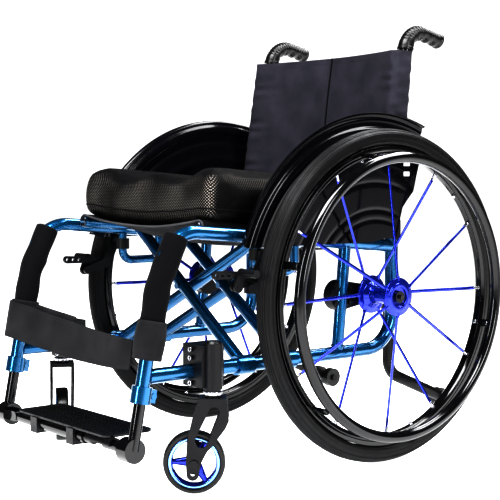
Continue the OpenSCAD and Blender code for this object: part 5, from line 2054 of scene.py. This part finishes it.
@dataclass
class BackSling:
    """The backrest: two panels with a seam between them and a deep sleeve round each post.

    Attributes:
        low: Height of the lower edge.
        high: Height of the upper edge.
        sag: Depth of the sag between the posts.
        thick: Thickness of the panel.
        reach: Distance of the panel's face ahead of the post line.
        sleeve: Radius of a sleeve round its post.
        cord: Radius of the seam's cord.
        sewn: Places across of the upright rows of stitches.
        hems: Shares of the height of the level rows.
        flat: Width and height of the cloth laid flat, in metres; not used.
    """

    low: float = 462.0
    high: float = 760.0
    sag: float = 30.0
    thick: float = 4.0
    reach: float = 36.4
    sleeve: float = 13.5
    cord: float = 1.9
    sewn: tuple[float, ...] = (-0.035, 0.035, -0.86, 0.86)
    hems: tuple[float, ...] = (0.035, 0.965)
    flat: Pair = (0.52, 0.30)

    def build(self) -> list[Piece]:
        """Builds the cloth, its seam and its stitches.

        Returns:
            The pieces.
        """
        loops = [self.loop(h) for h in spaced(0, 1, 75)]
        cloth, seam, rows = Shape(), Shape(), Shape()
        cloth.grid(loops, wrap_cols=True)
        cloth.lid(loops[0])
        cloth.lid(loops[-1])
        seam.tube([self.face(0.0, h, 0.6) for h in spaced(0, 1, 40)], lambda s, a: self.cord, FORWARD, 10)
        for t in self.sewn:
            rows.stitches([self.face(t, h, 0.3) for h in spaced(0, 1, 60)], FORWARD)
        for h in self.hems:
            rows.stitches([self.face(t, h, 0.3) for t in spaced(-0.86, 0.86, 60)], FORWARD)
        back = cloth.piece("backrest", BACK_CLOTH, None, ["back_sling"], 60)
        piping = seam.piece("backrest_seam", PIPING)
        thread = rows.piece("backrest_stitches", THREAD)
        stretch_between_frames((back, piping, thread))
        return [back, piping, thread]

    def post(self, h: float) -> Place:
        """Distance from the centre plane, place and height of the left post at a share of the height."""
        z = self.low + h * (self.high - self.low)
        return SIDE_FRAME.post_x(z), SIDE_FRAME.post_y(z), z

    def face(self, t: float, h: float, proud: float = 0.0) -> Vector:
        """A point of the panel's front face.

        Args:
            t: Place across, -1 to 1.
            h: Share of the height.
            proud: Distance in front of the face.

        Returns:
            The point.
        """
        x, y, z = self.post(h)
        seam = 1.4 * hump(t, 0, 0.016)
        pucker = 2.4 * abs(t) ** 8 * math.sin(h * 60 + 2 * math.sin(h * 23))
        slack = 1.2 * math.sin(5 * t + 7 * h) * (1 - t * t)
        return Vector((t * x, y - self.reach + self.sag * (1 - t * t) - pucker + slack + seam - proud, z))

    def loop(self, h: float) -> list[Vector]:
        """Points round the backrest: front face, sleeve, back face, sleeve.

        Args:
            h: Share of the height.

        Returns:
            The ring.
        """
        front = [self.face(t, h) for t in spaced(-1, 1, 60)]
        back = [self.face(t, h, -self.thick) for t in spaced(-0.88, 0.88, 50)]
        return [*front, *self.wrap(h, 1), *reversed(back), *reversed(self.wrap(h, -1))]

    def wrap(self, h: float, sign: int) -> list[Vector]:
        """Points round one sleeve: past the panel's side, behind the post and forward again.

        Args:
            h: Share of the height.
            sign: Sign of X.

        Returns:
            The points.
        """
        x, y, z = self.post(h)
        r, deep = self.sleeve, self.reach - self.sleeve - 1
        nose = [(r * math.cos(a), r * math.sin(a) - deep) for a in np.radians(np.linspace(-70, 0, 6))]
        tail = [(r * math.cos(a), r * math.sin(a)) for a in np.radians(np.linspace(0, 180, 14))]
        path = [*nose, (r, -deep * 0.66), (r, -deep * 0.33), *tail, (-r, -deep * 0.4), (-r - 1, -deep - 3)]
        points = []
        for k, (out, behind) in enumerate(path):
            crease = 0.9 * math.sin(h * 58 + 0.55 * k) + 0.6 * math.sin(h * 97 - 0.3 * k + sign)
            points.append(Vector((sign * (x + out + crease * (0.9 if out > 0 else 0.0)), y + behind, z)))
        return points


@dataclass
class CalfStrap:
    """The calf strap: a wide band that hangs askew in front of the legs, with a sleeve round each of them.

    Attributes:
        height: Height of the band at the right leg.
        middle: Height of its middle at the right leg.
        sag: Largest drop of its middle.
        taper: Half of the height that it loses towards the left leg.
        bow: Distance that its middle lies back.
        thick: Thickness of the cloth.
        sleeve: Outer radius of the sleeve round a leg.
        gap: Gap between a sleeve and the band.
        sewn: Places up the band of its rows of stitches.
        mean_height: Mean height of the band, in metres; not used.
    """

    height: float = 64.0
    middle: float = 258.0
    sag: float = 23.0
    taper: float = 9.0
    bow: float = 12.0
    thick: float = 3.0
    sleeve: float = 26.1
    gap: float = 0.4
    sewn: tuple[float, ...] = (-0.84, 0.84)
    mean_height: float = 0.058

    def build(self) -> list[Piece]:
        """Builds the band, its stitches, its closing tab and its sleeves.

        Returns:
            The pieces.
        """
        levels = spaced(-1, 1, 14)
        cloth, rows = Shape(), Shape()
        cloth.sheet([self.line(v, self.thick) for v in levels], [self.line(v, 0.0) for v in levels])
        for v in self.sewn:
            rows.stitches(self.line(v, self.thick + 0.2), FORWARD)
        band = cloth.piece("calf_band", STRAP_CLOTH, None, ["calf_strap"], 50)
        thread = rows.piece("calf_stitches", THREAD)
        tab = self.tab()
        stretch_between_frames((band, thread, tab))
        width = path_length(self.line(0.0, 0.0)) * MM
        return [band, thread, tab, *(self.sleeve_round(side) for side in Side)]

    def edge(self, t: float, v: float) -> Pair:
        """Place and height of a point of the band's inner face.

        Args:
            t: Place across the chair, -1 to 1.
            v: Place up the band, -1 to 1.

        Returns:
            Its y and z.
        """
        half = self.height / 2 - self.taper * ((t + 1) / 2) ** 2
        z = self.middle - self.sag * math.sin(math.radians(56 * (t + 1))) + v * half
        tucked = 9.0 * max(0.0, (t - 0.7) / 0.3) ** 2
        ripple = 0.8 * math.sin(9 * t + 2 * v) * (1 - t * t)
        leg = SIDE_FRAME.leg(z).y - self.sleeve - self.gap
        return leg + self.bow * (1 - t * t) + tucked + ripple, z

    def line(self, v: float, out: float) -> list[Vector]:
        """Points along the band at a share of its height, from behind the right leg to the left sleeve.

        Args:
            v: Place up the band, -1 to 1.
            out: Distance outside its inner face.

        Returns:
            The points.
        """
        points = []
        front, z = self.edge(-1.0, v)
        inner = self.sleeve + self.gap
        for a in np.radians(spaced(75, -90, 12)[:-1]):
            x = SIDE_FRAME.x + (inner + out) * math.cos(a)
            points.append(Vector((-x, front + inner + (inner + out) * math.sin(a), z)))
        for t in spaced(-1, 0.93, 60):
            y, z = self.edge(t, v)
            points.append(Vector((t * SIDE_FRAME.x, y - out, z)))
        return points

    def tab(self) -> Piece:
        """The loose end of the strap, which lies behind the band and stands a little above it.

        Returns:
            The piece.
        """
        front = []
        for v in (-0.6, 0.0, 0.6, 1.0, 1.28):
            row = []
            for t in spaced(-0.66, -0.04, 24):
                y, z = self.edge(t, v)
                row.append(Vector((t * SIDE_FRAME.x, y + 1.0 + 1.5 * max(0.0, v), z + 3 * t)))
            front.append(row)
        shape = Shape()
        shape.sheet(front, [[p - FORWARD * 2.2 for p in row] for row in front])
        return shape.piece("calf_tab", STRAP_CLOTH)

    def sleeve_round(self, side: Side) -> Piece:
        """The sleeve of cloth round one leg, with its hems.

        Args:
            side: Side of the chair.

        Returns:
            The piece.
        """
        low, high = self.middle - self.height / 2 + 2, self.middle + self.height / 2
        path = resample([SIDE_FRAME.leg(low), SIDE_FRAME.leg(high)], 2.0)
        length = (path[-1] - path[0]).length
        shape = Shape()
        shape.tube(path, lambda s, a: self.slack_sleeve(s, a, length), FORWARD, 48)
        return shape.mirrored(side).piece(side.node("calf_sleeve"), STRAP_CLOTH, side.body("frame"))

    def slack_sleeve(self, s: float, a: float, length: float) -> float:
        """Radius of a sleeve, slack behind the leg and drawn in at its hems.

        Args:
            s: Distance along the sleeve.
            a: Angle round it, from its front.
            length: Length of the sleeve.

        Returns:
            The radius.
        """
        hem = 0.8 * (hump(s, 8, 1.5) + hump(length - s, 8, 1.5))
        slack = 0.8 * math.sin(s / 11 + 2 * a) + 0.5 * math.cos(3 * a)
        ends = 1.2 if min(s, length - s) < 0.5 else 0.0
        return self.sleeve - 1.0 + slack - hem - ends


@dataclass
class Fittings:
    """Small metal parts on the frame: bracket bolts, caster washers, tube plugs and weld beads.

    Attributes:
        side: Side of the chair.
        bolts: Heights of the bracket's bolts.
        bolt_at: Distance out and place of those bolts' heads.
        head: Radius and height of the corners of a bolt's head.
        stem: Distance out, place and height of the washer on the caster's stem.
        washer: Inner radius, outer radius and height of that washer.
        tube_front: Distance of a seat tube's front end ahead of the axle.
        plug: Start and end of the tube's plug ahead of that end.
        plug_r: Radius of the plug.
        weld_at: Place and height of the upright's weld.
        weld_up: Direction of the upright there.
        weld: Radius of the weld's ring and of its bead.
    """

    side: Side
    bolts: tuple[float, ...] = (182.0, 224.0, 238.0)
    bolt_at: Pair = (214.0, -408.5)
    head: tuple[Pair, ...] = ((2.0, 0.0), (4.6, 0.0), (4.6, 2.4), (2.6, 2.4), (2.0, 1.2))
    stem: Place = (242.0, -383.0, 163.5)
    washer: Place = (13.2, 15.6, 6.0)
    tube_front: float = 370.0
    plug: Pair = (-0.3, 2.4)
    plug_r: float = 10.4
    weld_at: Pair = (-69.0, 213.2)
    weld_up: Pair = (19.0, 200.0)
    weld: Pair = (11.4, 2.0)

    def build(self) -> list[Piece]:
        """Builds the fittings.

        Returns:
            The pieces.
        """
        heads, washer, plug, weld = Shape(), Shape(), Shape(), Shape()
        for z in self.bolts:
            heads.lathe(softened(self.head, 0.5), Spindle(Vector((*self.bolt_at, z)), FORWARD, Z_AXIS), 24)
        hole, edge, top = self.washer
        collar = softened([(hole, 0.0), (edge, 0.0), (edge, top), (hole, top)], 0.8)
        washer.lathe(collar, Spindle(Vector(self.stem), Z_AXIS, X_AXIS), 48)
        start, stop = (SEAT.at(SEAT.tube_x, -ahead - self.tube_front, 0) for ahead in self.plug)
        plug.rod(start, stop, self.plug_r, 1.2)
        lean = Vector((0, *self.weld_up)).normalized()
        upright = Spindle(Vector((SIDE_FRAME.x, *self.weld_at)), lean, X_AXIS)
        weld.lathe(circle_profile(self.weld[0], 0.0, self.weld[1], 12), upright, 48)
        brace = "brace_b" if self.side is Side.LEFT else "brace_a"
        kinds = ((heads, "bracket_bolts", STEEL, self.side.body("frame")),
                 (washer, "caster_washer", STEEL, self.side.body("caster_fork")),
                 (plug, "tube_plug", BUTTON, brace),
                 (weld, "upright_weld", FRAME_BLUE, self.side.body("frame")))
        return [shape.mirrored(self.side).piece(self.side.node(name), finish, body)
                for shape, name, finish, body in kinds]


def main() -> None:
    """Builds the chair's looks in order and logs the name of each piece."""
    logging.basicConfig(level=logging.INFO, format="%(name)s: %(message)s")
    parts: list[SubAssembly] = [Studio(), FrameTubes()]
    for side in Side:
        parts += [RearWheel(side), CasterWheel(side), SideGuard(side), PushGrip(side), LegPad(side),
                  Fittings(side)]
    parts += [SeatSling(), Cushion(), BackSling(), CalfStrap()]
    for part in parts:
        for piece in part.build():
            log.info("%s: %s", type(part).__name__, piece.name)


if __name__ == "__main__":
    main()
